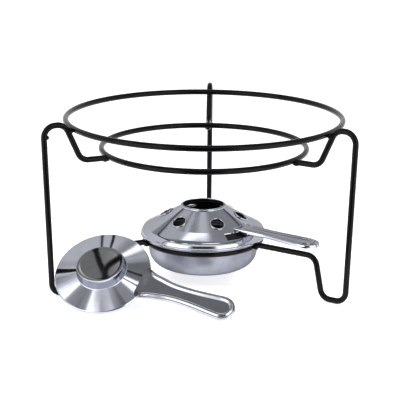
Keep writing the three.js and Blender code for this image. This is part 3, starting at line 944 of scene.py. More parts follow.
@dataclass
class WireStand:
    """Three wire rings on three bent legs, welded and dipped in black enamel.

    A ring is its wire's radius about the axis and its height. The enamel run is measured from the axis.
    """

    shop: Workshop
    wire_radius: float = 2.25
    wire_sides: int = 20
    coat: float = 0.15
    coat_ripple: float = 0.06
    coat_ripple_scale: float = 120.0
    upper_ring: tuple[float, float] = (112.5, 136.0)
    lower_ring: tuple[float, float] = (84.0, 111.3)
    burner_ring: tuple[float, float] = (48.5, 34.0)
    leg_angles: dict[str, float] = field(default_factory=lambda: {
        "leg_right": -32.2, "leg_back": 87.8, "leg_left": 205.2,
    })
    seat_gap: float = 0.3
    arch_radius: float = 9.4
    arch_rise: float = 3.7
    arch_flat: float = 1.9
    foot_width: float = 20.5
    foot_toe_in: float = 3.9
    foot_bend_radius: float = 8.5
    knee_set_back: float = 7.0
    knee_radius: float = 9.0
    upper_arm_drop: float = 1.3
    burner_arm_end: float = 52.9
    burner_arm_rise: float = 1.9
    shin_radius: float = 9.2
    ring_steps: int = 240
    bend_steps: int = 12
    burner_weld: Weld = Weld(2.9, 0.5, 0.86)
    lower_weld: Weld = Weld(2.2, -1.5, 1.0)
    lower_weld_edge: Weld = Weld(0.3, -2.2, 0.62)
    upper_weld: Weld = Weld(2.64, -1.44, 0.88)
    enamel_run: Weld = Weld(134.2, 130.5, 0.6)
    bead_radius: float = 3.05
    bead_lump_depth: float = 1.1
    bead_lump_scale: float = 380.0
    bead_seed: int = 7

    def leg_line(self) -> Line:
        """Draws the leg's centreline in its own plane.

        Returns:
            Radius and height points, from the burner ring over the foot and the arch to the lower ring.
        """
        touch = 2 * self.wire_radius + self.seat_gap
        radius, height = self.upper_ring
        top = height + self.arch_rise
        drop = self.arch_radius - self.arch_rise
        reach = math.sqrt((self.arch_radius + touch) ** 2 - drop ** 2)
        share = touch / (self.arch_radius + touch)
        beside_ring = (radius + reach * share, height - drop * share)
        outer = radius + reach + self.arch_radius + self.arch_flat
        foot_outer = outer - self.foot_toe_in
        foot_inner = foot_outer - self.foot_width
        foot_level = self.wire_radius + self.coat
        knee_level = self.burner_ring[1] + self.burner_arm_rise
        arm = self.lower_ring[1] - self.upper_arm_drop

        def shin(level: float) -> float:
            """The shin's radius at a height."""
            return beside_ring[0] - (beside_ring[1] - level) * drop / reach

        corners = [
            (self.burner_arm_end, knee_level),
            (foot_inner - self.knee_set_back, knee_level),
            (foot_inner, foot_level),
            (foot_outer, foot_level),
            (outer, top),
            (shin(top), top),
            (shin(arm), arm),
            (self.lower_ring[0] + self.wire_radius / 2, arm),
        ]
        return bent(corners, [
            self.knee_radius, self.foot_bend_radius, self.foot_bend_radius,
            self.arch_radius, self.arch_radius, self.shin_radius,
        ], steps=self.bend_steps)

    def wire(self, points: np.ndarray, closed: bool, node: str) -> None:
        """Lays one wire.

        Args:
            points: The wire's centreline in millimetres.
            closed: Whether its ends join.
            node: The CAD node that it replaces.
        """
        count = len(points)
        edges = [(k, (k + 1) % count) for k in range(count if closed else count - 1)]
        name = f"{node}_wire"
        path = bpy.data.meshes.new(name)
        path.from_pydata((points * MM).tolist(), edges, [])
        mesh = self.shop.trees[Pattern.WIRE].grow(path, {
            "Wire radius": (self.wire_radius + self.coat) * MM, "Sides": self.wire_sides,
            "Coat depth": self.coat_ripple * MM, "Coat scale": self.coat_ripple_scale,
            "Material": self.shop.finishes[ENAMEL.name],
        })
        self.shop.set_down(mesh, name, Body.STAND, Slot.BLACK_WIRE, [node])

    def build(self) -> None:
        """Builds the rings, the legs and the weld beads."""
        turns = np.linspace(0, 2 * math.pi, self.ring_steps, endpoint=False)
        rings = {
            "upper_ring": self.upper_ring, "lower_ring": self.lower_ring, "burner_ring": self.burner_ring,
        }
        for node, (radius, height) in rings.items():
            level = np.full(len(turns), height)
            self.wire(np.stack([radius * np.cos(turns), radius * np.sin(turns), level], 1), True, node)
        line = np.array(self.leg_line())
        for node, angle in self.leg_angles.items():
            turn = math.radians(angle)
            points = np.stack([line[:, 0] * math.cos(turn), line[:, 0] * math.sin(turn), line[:, 1]], 1)
            self.wire(points, False, node)
        self.build_welds()

    def build_welds(self) -> None:
        """Sets a weld bead where each leg meets each ring, and a run of enamel on one leg."""
        spots = [
            self.burner_weld.at(self.burner_ring), self.lower_weld.at(self.lower_ring),
            self.lower_weld_edge.at(self.lower_ring), self.upper_weld.at(self.upper_ring),
        ]
        beads = [(angle, *spot) for angle in self.leg_angles.values() for spot in spots]
        beads.append((self.leg_angles["leg_left"], *self.enamel_run.at((0.0, 0.0))))
        places = []
        for angle, radius, height, _ in beads:
            turn = math.radians(angle)
            places.append((radius * math.cos(turn) * MM, radius * math.sin(turn) * MM, height * MM))
        path = bpy.data.meshes.new("weld beads")
        path.from_pydata(places, [], [])
        sizes = path.attributes.new("bead_size", "FLOAT", "POINT")
        sizes.data.foreach_set("value", [bead[-1] for bead in beads])
        mesh = self.shop.trees[Pattern.WELD].grow(path, {
            "Bead radius": self.bead_radius * MM, "Lump depth": self.bead_lump_depth * MM,
            "Lump scale": self.bead_lump_scale, "Seed": self.bead_seed,
            "Material": self.shop.finishes[ENAMEL.name],
        })
        self.shop.set_down(mesh, "weld_beads", Body.STAND, Slot.BLACK_WIRE, [])


# Pressed handles


@dataclass
class PressedHandle:
    """A stamped steel handle: a flat web inside a raised bead, with a turned-down edge.

    The plan gives shares of the length and of the half width, from the root to the tip. The section gives
    the inset from the edge and the height over the web, in millimetres. Heights below the fold line belong
    to the turned-down edge, which the flange makes deeper.
    """

    length: float
    half_width: float
    flange: float = 0.95
    fold_line: float = -0.2
    sheet: float = 0.9
    fade_start: float = 1.5
    fade_length: float = 9.0
    web_steps: int = 4
    plan_steps: int = 7
    plan: Line = field(default_factory=lambda: [
        (0, 1.4), (0.05, 1.27), (0.12, 1.12), (0.2, 1.0), (0.29, 0.87), (0.38, 0.81), (0.5, 0.81),
        (0.62, 0.86), (0.74, 0.94), (0.85, 1.0), (0.91, 0.93), (0.955, 0.72), (0.985, 0.4), (1.0, 0.0),
    ])
    section: Line = field(default_factory=lambda: [
        (0.0, -1.0), (0.05, -0.6), (0.2, -0.25), (0.5, 0.0), (0.9, 0.1), (1.3, 0.05), (1.7, 0.15),
        (2.1, 0.6), (2.5, 1.0), (2.95, 1.15), (3.4, 1.0), (3.8, 0.6), (4.2, 0.16), (4.7, -0.05),
        (5.4, -0.1),
    ])

    def outline(self) -> np.ndarray:
        """Draws the plan's edge from the root on one side, round the tip, to the root on the other.

        Returns:
            Points along and across, in millimetres, on a smooth curve through the plan.
        """
        side = [(along * self.length, -out * self.half_width) for along, out in self.plan]
        points = np.array(side + [(x, -y) for x, y in side[-2::-1]])
        padded = np.vstack([2 * points[0] - points[1], points, 2 * points[-1] - points[-2]])
        shares = np.linspace(0, 1, self.plan_steps, endpoint=False)[:, None]
        smooth = []
        for a, b, c, d in zip(padded, padded[1:], padded[2:], padded[3:]):
            smooth.append(0.5 * (2 * b + (c - a) * shares + (2 * a - 5 * b + 4 * c - d) * shares ** 2
                                 + (3 * b - a - 3 * c + d) * shares ** 3))
        return np.vstack([*smooth, points[-1:]])

    def fade(self, along: np.ndarray) -> np.ndarray:
        """How much of the bead's height shows at distances from the root, from 0 to 1."""
        share = np.clip((along - self.fade_start) / self.fade_length, 0, 1)
        return share * share * (3 - 2 * share)

    def surface(self, rise: Heights, floor: Floor) -> Surface:
        """Builds the handle along +X from its root.

        Args:
            rise: Gives the web's height at distances along.
            floor: Gives the lowest height of the underside at places along and across.

        Returns:
            The closed surface.
        """
        edge = self.outline()
        ahead = np.gradient(edge, axis=0)
        ahead /= np.linalg.norm(ahead, axis=1)[:, None]
        inward = np.stack([-ahead[:, 1], ahead[:, 0]], 1)

        def lifted(place: np.ndarray, height: float) -> np.ndarray:
            """Adds to places their level, at a height over the web.

            Args:
                place: Places along and across.
                height: The height over the web away from the root.

            Returns:
                Points of the upper face.
            """
            level = rise(place[:, 0]) + height * self.fade(place[:, 0])
            level = np.maximum(level, floor(place[:, 0], place[:, 1]) + self.sheet)
            return np.column_stack([place, level])

        rows = []
        for inset, height in self.section:
            folded = height * self.flange if height < self.fold_line else height
            rows.append(lifted(edge + inward * inset, folded))
        inner = rows[-1][:, :2]
        middle = (inner + inner[::-1]) / 2
        for step in range(1, self.web_steps + 1):
            share = step / self.web_steps
            rows.append(lifted(inner * (1 - share) + middle * share, self.section[-1][1]))
        return slab(rows, self.sheet)


# The burner


@dataclass
class Burner:
    """A spirit burner: pan, wool, gauze, and a domed cover with its air regulator."""

    shop: Workshop
    segments: int = 192
    seat_gap: float = 0.3
    running_gap: float = 0.4
    crisp_angle: float = 35.0
    pan_radius: float = 45.3
    pan_corner_radius: float = 14.0
    pan_sheet: float = 0.8
    pan_flange_width: float = 5.4
    pan_flange_bend: float = 0.6
    pad_segments: int = 96
    pad_edge_drop: float = 1.4
    pad_slope_width: float = 9.0
    pad_slope_drop: float = 0.4
    pad_edge_bend: float = 1.2
    pad_slope_bend: float = 6.0
    pad_lump: float = 0.25
    pad_lump_depth: float = 3.0
    cloth_wires: int = 43
    cloth_wire_radius: float = 0.24
    cloth_wave: float = 0.2
    clamp_ring_width: float = 2.8
    clamp_ring_bend: float = 0.5
    cover_sheet: float = 0.7
    hole_radius: float = 17.7
    lip_rise: float = 1.0
    lip_width: float = 0.9
    neck_taper: float = 0.1
    neck_foot: float = 0.25
    neck_bend: float = 1.1
    neck_shade_drop: float = 0.3
    hole_bead_radius: float = 0.75
    hole_bead_set_out: float = 0.5
    hole_bead_sides: int = 16
    cone_base_radius: float = 39.4
    cone_drop: float = 12.3
    crease_bend: float = 1.0
    shoulder_radius: float = 50.8
    shoulder_drop: float = 5.6
    shoulder_bend: float = 7.5
    cover_radius: float = 52.0
    skirt_taper: float = 0.05
    rim_bulge: float = 0.55
    rim_height: float = 1.7
    rim_neck: float = 0.5
    rim_bend: float = 0.5
    foot_shade_height: float = 0.9
    vent_count: int = 6
    vent_radius: float = 5.9
    vent_reach: float = 31.3
    vent_first_angle: float = -8.4
    vent_lip: float = 0.7
    vent_punch: float = 6.0
    window_margin: float = 0.4
    window_lip: float = 0.05
    window_punch: float = 9.0
    shutter_top_radius: float = 19.5
    shutter_outer_radius: float = 46.6
    base_ring_bore: float = 43.4
    base_ring_bend: float = 0.8
    regulator_angle: float = -36.5
    regulator_travel: float = 23.0
    regulator_tip_reach: float = 111.9
    regulator_half_width: float = 9.6
    regulator_fall: float = 1.2
    regulator_root_overlap: float = 0.8
    regulator_flange: float = 1.8
    regulator_plan: Line = field(default_factory=lambda: [
        (0, 0.98), (0.05, 0.94), (0.12, 0.88), (0.2, 0.83), (0.29, 0.79), (0.38, 0.78), (0.5, 0.82),
        (0.62, 0.89), (0.74, 0.96), (0.85, 1.0), (0.91, 0.93), (0.955, 0.72), (0.985, 0.4), (1.0, 0.0),
    ])
    tongue_width: float = 8.0
    tongue_depth: float = 5.0
    tongue_reach_below: float = 1.7
    slot_inner_radius: float = 41.4
    slot_outer_radius: float = 48.6
    slot_margin: float = 0.6
    slot_steps: int = 40

    def __post_init__(self) -> None:
        """Reads the burner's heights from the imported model."""
        self.pan_floor = node_low("fuel_pan")
        self.flange_top = node_high("fuel_pan")
        self.cover_foot = node_low("burner_cover")
        self.cover_top = node_high("burner_cover") - self.lip_rise
        self.cone_top = (self.hole_radius + self.lip_width, self.cover_top)
        self.crease = (self.cone_base_radius, self.cover_top - self.cone_drop)
        self.shoulder = (self.shoulder_radius, self.crease[1] - self.shoulder_drop)
        self.slope = math.atan2(self.cone_drop, self.cone_base_radius - self.cone_top[0])
        self.fill_radius = self.pan_radius - self.pan_sheet - self.seat_gap

    def on_cone(self, radius: Any) -> Any:
        """The cone's height at a radius, or at an array of them."""
        return self.cone_top[1] - (radius - self.cone_top[0]) * math.tan(self.slope)

    def on_shoulder(self, radius: Any) -> Any:
        """The height of the flat shoulder between crease and skirt at a radius, or at an array of them."""
        share = (radius - self.crease[0]) / (self.shoulder[0] - self.crease[0])
        return self.crease[1] + (self.shoulder[1] - self.crease[1]) * share

    def cover_line(self) -> Line:
        """Draws the cover's outer face.

        Returns:
            Radius and height points from the flame hole down to the rolled edge.
        """
        foot, bulge = self.cover_foot, self.cover_radius + self.rim_bulge
        corners = [
            (self.hole_radius, self.cover_top + self.lip_rise),
            (self.hole_radius + self.neck_taper, self.cover_top + self.neck_foot),
            self.crease,
            self.shoulder,
            (self.cover_radius - self.skirt_taper, foot + self.rim_height + self.rim_neck),
            (bulge, foot + self.rim_height * 3 / 4),
            (bulge, foot + self.rim_height / 4),
            (self.cover_radius - self.rim_neck, foot),
        ]
        bends = [self.neck_bend, self.crease_bend, self.shoulder_bend] + 3 * [self.rim_bend]
        return bent(corners, bends, steps=9)

    def punched(
        self, mesh: bpy.types.Mesh, radius: float, lip: float, depth: float, finish: Finish,
        cutter: bpy.types.Object | None = None, below: float = 0.0,
    ) -> bpy.types.Mesh:
        """Punches the ring of vents.

        Args:
            mesh: The sheet, about the stand's axis.
            radius: Radius of each hole.
            lip: Radius of the rolled lip round each hole.
            depth: Length of the punch.
            finish: The sheet's finish.
            cutter: A further body to cut away, or None.
            below: How far the sheet's upper face lies under the cover's outer face.

        Returns:
            The punched sheet.
        """
        values = {
            "Vents": self.vent_count, "First angle": math.radians(self.vent_first_angle),
            "Reach": (self.vent_reach - below * math.sin(self.slope)) * MM,
            "Height": (self.on_cone(self.vent_reach) - below * math.cos(self.slope)) * MM,
            "Slope": self.slope, "Vent radius": radius * MM,
            "Punch depth": depth * MM, "Lip radius": lip * MM,
            "Material": self.shop.finishes[finish.name],
        }
        if cutter is not None:
            values["Slot cutter"] = cutter
        return self.shop.trees[Pattern.VENTS].grow(mesh, values)

    def slot_cutter(self) -> bpy.types.Object:
        """Builds a block that cuts the regulator's slot through the cover's shoulder.

        Returns:
            The block, to be removed after the cut.
        """
        half = math.degrees((self.tongue_width / 2 + self.slot_margin) / self.slot_inner_radius)
        first = self.regulator_angle - self.regulator_travel - half
        last = self.regulator_angle + half
        steps = self.slot_steps
        inner, outer = self.slot_inner_radius, self.slot_outer_radius
        foot, top = self.cover_foot, self.cover_top
        section = ((inner, foot), (outer, foot), (outer, top), (inner, top))
        points, faces = [], []
        for k in range(steps + 1):
            turn = math.radians(first + (last - first) * k / steps)
            for radius, height in section:
                points.append((radius * math.cos(turn), radius * math.sin(turn), height))
        for k in range(steps):
            for m in range(4):
                a, b = 4 * k + m, 4 * k + (m + 1) % 4
                faces.append((a, b, b + 4, a + 4))
        faces += [(0, 3, 2, 1), tuple(4 * steps + m for m in range(4))]
        return linked("slot cutter", welded_shut(Surface(np.array(points), faces).mesh("slot cutter")))

    def paint_shade_inside_and_foot(self, mesh: bpy.types.Mesh, bright_above: float = math.inf) -> None:
        """Paints shade: the dark finish goes on faces that look at the flame and on the rolled edge's foot.

        Args:
            mesh: The sheet, changed in place.
            bright_above: Faces higher than this keep their finish, in millimetres.
        """
        least_facing, flat_up = 0.12, 0.3
        mesh.materials.append(self.shop.finishes[PAINTED_SHADE_STEEL.name])
        focus = Vector((0, 0, self.pan_floor * MM))
        foot_level = (self.cover_foot + self.foot_shade_height) * MM
        for face in mesh.polygons:
            away = face.center - focus
            inside = face.normal.dot(away) < -least_facing * away.length
            foot = face.center.z < foot_level and face.normal.z < flat_up
            if (inside or foot) and face.center.z < bright_above * MM:
                face.material_index = 1

    def hole_bead(self) -> Surface:
        """Builds the rolled bead round the flame hole.

        Returns:
            The bead's closed surface.
        """
        turns = np.linspace(0, 2 * math.pi, self.hole_bead_sides, endpoint=False)
        size = self.hole_bead_radius
        radius, height = self.hole_radius + self.hole_bead_set_out, self.cover_top + self.lip_rise - size
        outline = [(radius + size * math.cos(turn), height + size * math.sin(turn)) for turn in turns]
        return lathe(outline, self.segments)

    def build_cover(self) -> None:
        """Builds the polished cover with its flame hole, vents and slot."""
        dome = lathe(sheet_outline(self.cover_line(), -self.cover_sheet), self.segments)
        cutter = self.slot_cutter()
        mesh = self.punched(
            dome.mesh("burner cover"), self.vent_radius, self.vent_lip, self.vent_punch, POLISHED, cutter
        )
        bpy.data.objects.remove(cutter)
        # Painted shade on the inside faces and on the rolled edge's foot.
        self.paint_shade_inside_and_foot(mesh, self.cover_top - self.neck_shade_drop)
        self.shop.set_down(
            mesh, "burner_cover_dome", Body.COVER, Slot.POLISHED_STEEL, ["burner_cover"],
            sharp=self.crisp_angle,
        )
        # The bead gets the lighter lid steel, not the cover's own, as a painted highlight round the flame
        # hole.
        bead = self.hole_bead().mesh("flame hole bead")
        self.shop.set_down(bead, "flame_hole_bead", Body.COVER, Slot.POLISHED_STEEL, [], BRIGHT)

    def shutter_line(self) -> Line:
        """Draws the shutter's upper face, a running gap under the cover.

        Returns:
            Radius and height points from the top outwards.
        """
        line = bent([
            (self.shutter_top_radius, self.on_cone(self.shutter_top_radius)),
            self.crease,
            (self.shutter_outer_radius, self.on_shoulder(self.shutter_outer_radius)),
        ], [self.crease_bend], steps=6)
        return beside(line, -(self.cover_sheet + self.running_gap))

    def build_shutter(self) -> None:
        """Builds the vent shutter that turns with the regulator arm."""
        plate = lathe(sheet_outline(self.shutter_line(), -self.cover_sheet), self.segments)
        # The shutter inside the cover gets the dark finish all over, as painted shade.
        mesh = self.punched(
            plate.mesh("vent shutter"), self.vent_radius + self.window_margin, self.window_lip,
            self.window_punch, PAINTED_SHADE_STEEL, below=self.cover_sheet + self.running_gap,
        )
        self.paint_shade_inside_and_foot(mesh)
        self.shop.set_down(
            mesh, "vent_shutter_plate", Body.REGULATOR, Slot.SATIN_STEEL, ["vent_shutter"],
            sharp=self.crisp_angle,
        )

    def build_base_ring(self) -> None:
        """Builds the ring inside the cover's skirt."""
        foot, top = node_low("cover_base_ring"), node_high("cover_base_ring")
        inner = self.base_ring_bore + self.cover_sheet
        outer = self.cover_radius - self.cover_sheet - self.seat_gap
        upper = foot + self.cover_sheet
        line = bent([(inner, top), (inner, upper), (outer, upper)], [self.base_ring_bend])
        mesh = lathe(sheet_outline(line, -self.cover_sheet), self.segments).mesh("base ring")
        # The ring inside the skirt gets the dark finish, as painted shade.
        self.shop.set_down(
            mesh, "cover_base_collar", Body.COVER, Slot.SATIN_STEEL, ["cover_base_ring"], PAINTED_SHADE_STEEL
        )

    def build_pan(self) -> None:
        """Builds the satin fuel pan."""
        flange = self.flange_top - self.pan_sheet
        line = bent([
            (0.0, self.pan_floor), (self.pan_radius, self.pan_floor), (self.pan_radius, flange),
            (self.pan_radius + self.pan_flange_width, flange),
        ], [self.pan_corner_radius, self.pan_flange_bend], steps=16)
        mesh = lathe(sheet_outline(line, self.pan_sheet), self.segments).mesh("fuel pan")
        self.shop.set_down(mesh, "fuel_pan_bowl", Body.BURNER, Slot.SATIN_STEEL, ["fuel_pan"], SATIN)

    def build_pad(self) -> None:
        """Builds the wool pad, with low lumps on its upper face."""
        low, high = node_low("wick_pad"), node_high("wick_pad")
        line = bent([
            (0.0, low), (self.fill_radius, low), (self.fill_radius, high - self.pad_edge_drop),
            (self.fill_radius - self.pad_slope_width, high - self.pad_slope_drop), (0.0, high),
        ], [self.pan_corner_radius - self.pan_sheet, self.pad_edge_bend, self.pad_slope_bend], steps=10)
        pad = lathe(line, self.pad_segments)
        x, y, z = pad.points.T
        wave_x, wave_y, shift_y = 0.9, 1.1, 1.0
        lumps = np.sin(x * wave_x) * np.sin(y * wave_y + shift_y) * self.pad_lump
        z -= np.where(z > high - self.pad_lump_depth, self.pad_lump - lumps, 0.0)
        self.shop.set_down(pad.mesh("wool"), "wick_wool", Body.BURNER, Slot.WHITE_WOOL, ["wick_pad"], WOOL_PAINTED_SHADE)

    def build_cloth(self) -> None:
        """Builds the wire cloth over the wool."""
        level = (node_low("wick_gauze") + node_high("wick_gauze")) / 2
        cloth = self.shop.trees[Pattern.GAUZE].grow(bpy.data.meshes.new("gauze"), {
            "Disc radius": self.fill_radius * MM, "Wires": self.cloth_wires,
            "Pitch": 2 * self.fill_radius / (self.cloth_wires - 1) * MM,
            "Wire radius": self.cloth_wire_radius * MM, "Wave height": self.cloth_wave * MM,
            "Material": self.shop.finishes[GAUZE.name],
        })
        cloth.transform(Matrix.Translation((0, 0, level * MM)))
        self.shop.set_down(
            cloth, "wick_wire_cloth", Body.BURNER, Slot.GAUZE_STEEL, ["wick_gauze"], sharp=60.0
        )

    def build_clamp_ring(self) -> None:
        """Builds the ring that holds the wire cloth down."""
        foot, top = node_low("gauze_ring"), node_high("gauze_ring")
        radius = self.fill_radius
        line = bent([(radius - self.clamp_ring_width, foot), (radius, foot), (radius, top)],
                    [self.clamp_ring_bend])
        mesh = lathe(sheet_outline(line, self.pan_sheet), self.segments).mesh("gauze ring")
        self.shop.set_down(mesh, "gauze_clamp_ring", Body.BURNER, Slot.SATIN_STEEL, ["gauze_ring"], SATIN)

    def build_regulator(self) -> None:
        """Builds the regulator arm and its tongue through the slot."""
        half_root = self.regulator_half_width * self.regulator_plan[0][1]
        clear = self.cone_base_radius - self.regulator_root_overlap
        start = math.sqrt(clear ** 2 - half_root ** 2)
        length = self.regulator_tip_reach - start
        handle = PressedHandle(
            length, self.regulator_half_width, flange=self.regulator_flange, plan=self.regulator_plan
        )
        root = self.crease[1] + self.seat_gap + handle.sheet

        def rise(along: np.ndarray) -> np.ndarray:
            """The web's height at distances from the root."""
            return root - self.regulator_fall * along / length

        def floor(along: np.ndarray, across: np.ndarray) -> np.ndarray:
            """Finds the lowest place of the underside, clear of the cover.

            Args:
                along: Distances from the root.
                across: Distances from the middle line.

            Returns:
                The heights, far down where no cover lies below.
            """
            reach = np.hypot(along + start, across)
            level = np.where(reach < self.crease[0], self.on_cone(reach), self.on_shoulder(reach))
            return np.where(reach < self.shoulder_radius, level + self.seat_gap, NO_FLOOR)

        arm = handle.surface(rise, floor)
        arc = np.sqrt(clear ** 2 - np.minimum(np.abs(arm.points[:, 1]), half_root) ** 2) - start
        arm.points[:, 0] = np.maximum(arm.points[:, 0], arc)
        reach = (self.slot_inner_radius + self.slot_outer_radius) / 2
        deep, wide = self.tongue_depth / 2, self.tongue_width / 2
        tongue = block(
            (reach - deep, -wide, self.on_shoulder(reach) - self.tongue_reach_below),
            (reach + deep, wide, root - handle.sheet / 2),
        )
        whole = arm.moved(Matrix.Translation((start, 0, 0))).joined(tongue)
        whole = whole.moved(Matrix.Rotation(math.radians(self.regulator_angle), 4, "Z"))
        self.shop.set_down(
            welded_shut(whole.mesh("regulator")), "regulator_arm", Body.REGULATOR, Slot.POLISHED_STEEL,
            ["regulator_handle"], PRESSED, sharp=HANDLE_CRISP_ANGLE,
        )

    def build(self) -> None:
        """Builds the whole burner."""
        self.build_pan()
        self.build_pad()
        self.build_cloth()
        self.build_clamp_ring()
        self.build_base_ring()
        self.build_shutter()
        self.build_cover()
        self.build_regulator()


# The snuffer


@dataclass
class Snuffer:
    """A hat-shaped lid with a flat crown and a pressed handle, leaning on the left leg."""

    shop: Workshop
    segments: int = 192
    radius: float = 38.5
    height: float = 12.9
    sheet: float = 0.7
    crown_radius: float = 18.8
    crown_foot_radius: float = 20.0
    crown_lean: float = -8.3
    crown_lean_across: float = -1.5
    crown_face_depth: float = 0.45
    crown_rise: float = 7.2
    crown_dish: float = 0.25
    crown_edge_dish: float = 0.2
    crown_edge_width: float = 3.0
    brim_lip: float = 0.7
    bends: tuple[float, ...] = (2.0, 0.7, 0.9, 0.5, 0.3)
    reach: tuple[float, float] = (-79.0, -63.3)
    tilt: float = 35.2
    heading: float = -101.3
    spin: float = 76.7
    seat_gap: float = 0.3
    contact_gap: float = 0.05
    handle_root: float = 34.6
    handle_length: float = 78.2
    handle_half_width: float = 10.5
    handle_fall: float = 2.8

    def place(self) -> Matrix:
        """Works out where the lid leans.

        Returns:
            The matrix from the lid's own frame, rim down and handle on +X, to its leaning place.
        """
        tilt = math.radians(self.tilt)
        lift = self.seat_gap + self.radius * math.sin(tilt)
        return (
            Matrix.Translation((*self.reach, lift))
            @ Matrix.Rotation(math.radians(self.heading), 4, "Z")
            @ Matrix.Rotation(tilt, 4, "Y")
            @ Matrix.Rotation(math.radians(self.spin), 4, "Z")
        )

    def on_brim(self, radius: Any) -> Any:
        """Finds the height of the brim's upper face.

        Args:
            radius: A radius, or an array of them.

        Returns:
            The height there, or the array of heights.
        """
        top, edge = self.height - self.crown_rise, self.brim_lip + self.sheet
        share = (radius - self.crown_foot_radius) / (self.radius - self.brim_lip - self.crown_foot_radius)
        return top + (edge - top) * share

    def lean_crown(self, cap: Surface) -> None:
        """Leans the crown's disc on its wall, so that it mirrors the ring and the leg.

        Args:
            cap: The cap in its own frame, changed in place.
        """
        cosine, sine = math.cos(math.radians(self.spin)), math.sin(math.radians(self.spin))
        downhill = cap.points[:, :2] @ [cosine, -sine]
        aside = cap.points[:, :2] @ [sine, cosine]
        share = np.clip((cap.points[:, 2] - self.height + self.crown_rise) / self.crown_rise, 0, 1)
        lean, lean_across = (math.tan(math.radians(v)) for v in (self.crown_lean, self.crown_lean_across))
        cap.points[:, 2] -= share * (downhill * lean + aside * lean_across)

    def build_cap(self) -> None:
        """Builds the cap: crown, wall, brim and rolled rim."""
        line = bent([
            (0.0, self.height - self.crown_dish),
            (self.crown_radius - self.crown_edge_width, self.height - self.crown_edge_dish),
            (self.crown_radius, self.height),
            (self.crown_foot_radius, self.height - self.crown_rise),
            (self.radius - self.brim_lip, self.brim_lip + self.sheet),
            (self.radius, self.brim_lip),
            (self.radius, 0.0),
        ], self.bends, steps=6)
        cap = lathe(sheet_outline(line, -self.sheet), self.segments)
        face_level = self.height - self.crown_face_depth
        crown_face = [int(all(cap.points[v, 2] > face_level for v in face)) for face in cap.faces]
        self.lean_crown(cap)
        mesh = cap.moved(self.place()).mesh("snuffer cap")
        # The crown's faces get the darker copy of the lid's steel, a painted dark reflection.
        for finish in (BRIGHT, CROWN_PAINTED_REFLECTION):
            mesh.materials.append(self.shop.finishes[finish.name])
        mesh.polygons.foreach_set("material_index", crown_face)
        self.shop.set_down(mesh, "snuffer_hat", Body.SNUFFER, Slot.POLISHED_STEEL, ["snuffer_cap"])

    def build_handle(self) -> None:
        """Builds the handle from its root on the brim out over the rim."""
        handle = PressedHandle(self.handle_length, self.handle_half_width)
        root = self.on_brim(self.handle_root) + self.seat_gap + handle.sheet
        rim = self.brim_lip + self.sheet + self.seat_gap + handle.sheet
        reach = self.radius - self.handle_root

        def rise(along: np.ndarray) -> np.ndarray:
            """The web's height at distances from the root."""
            outside = rim - self.handle_fall * (along - reach) / (self.handle_length - reach)
            return np.where(along < reach, root + (rim - root) * along / reach, outside)

        def floor(along: np.ndarray, across: np.ndarray) -> np.ndarray:
            """The lowest place of the underside, on the brim, or far down beyond it."""
            radius = np.hypot(along + self.handle_root, across)
            return np.where(radius < self.radius, self.on_brim(radius) + self.contact_gap, NO_FLOOR)

        shape = handle.surface(rise, floor)
        shape = shape.moved(self.place() @ Matrix.Translation((self.handle_root, 0, 0)))
        self.shop.set_down(
            welded_shut(shape.mesh("snuffer handle")), "snuffer_grip", Body.SNUFFER, Slot.POLISHED_STEEL,
            ["snuffer_handle"], PRESSED, sharp=HANDLE_CRISP_ANGLE,
        )

    def build(self) -> None:
        """Builds the cap and its handle."""
        self.build_cap()
        self.build_handle()


# Camera, floor and light


WHITE = (1, 1, 1, 1)
SQUARE = ((-1, -1), (1, -1), (1, 1), (-1, 1))


@dataclass(frozen=True)
class Card:
    """A plain card round the set, which only shiny surfaces see.

    Its place is measured from the stand's axis, and it and the two sides are metres. The tone is its
    brightness, where 1 is white, and the soft edge is a share of half a side. A card lies flat, turned
    about the vertical in degrees, or faces the burner.
    """

    name: str
    place: tuple[float, float, float]
    size: tuple[float, float]
    tone: float
    soft: float = 0.4
    turn: float = 0.0
    faces_burner: bool = False


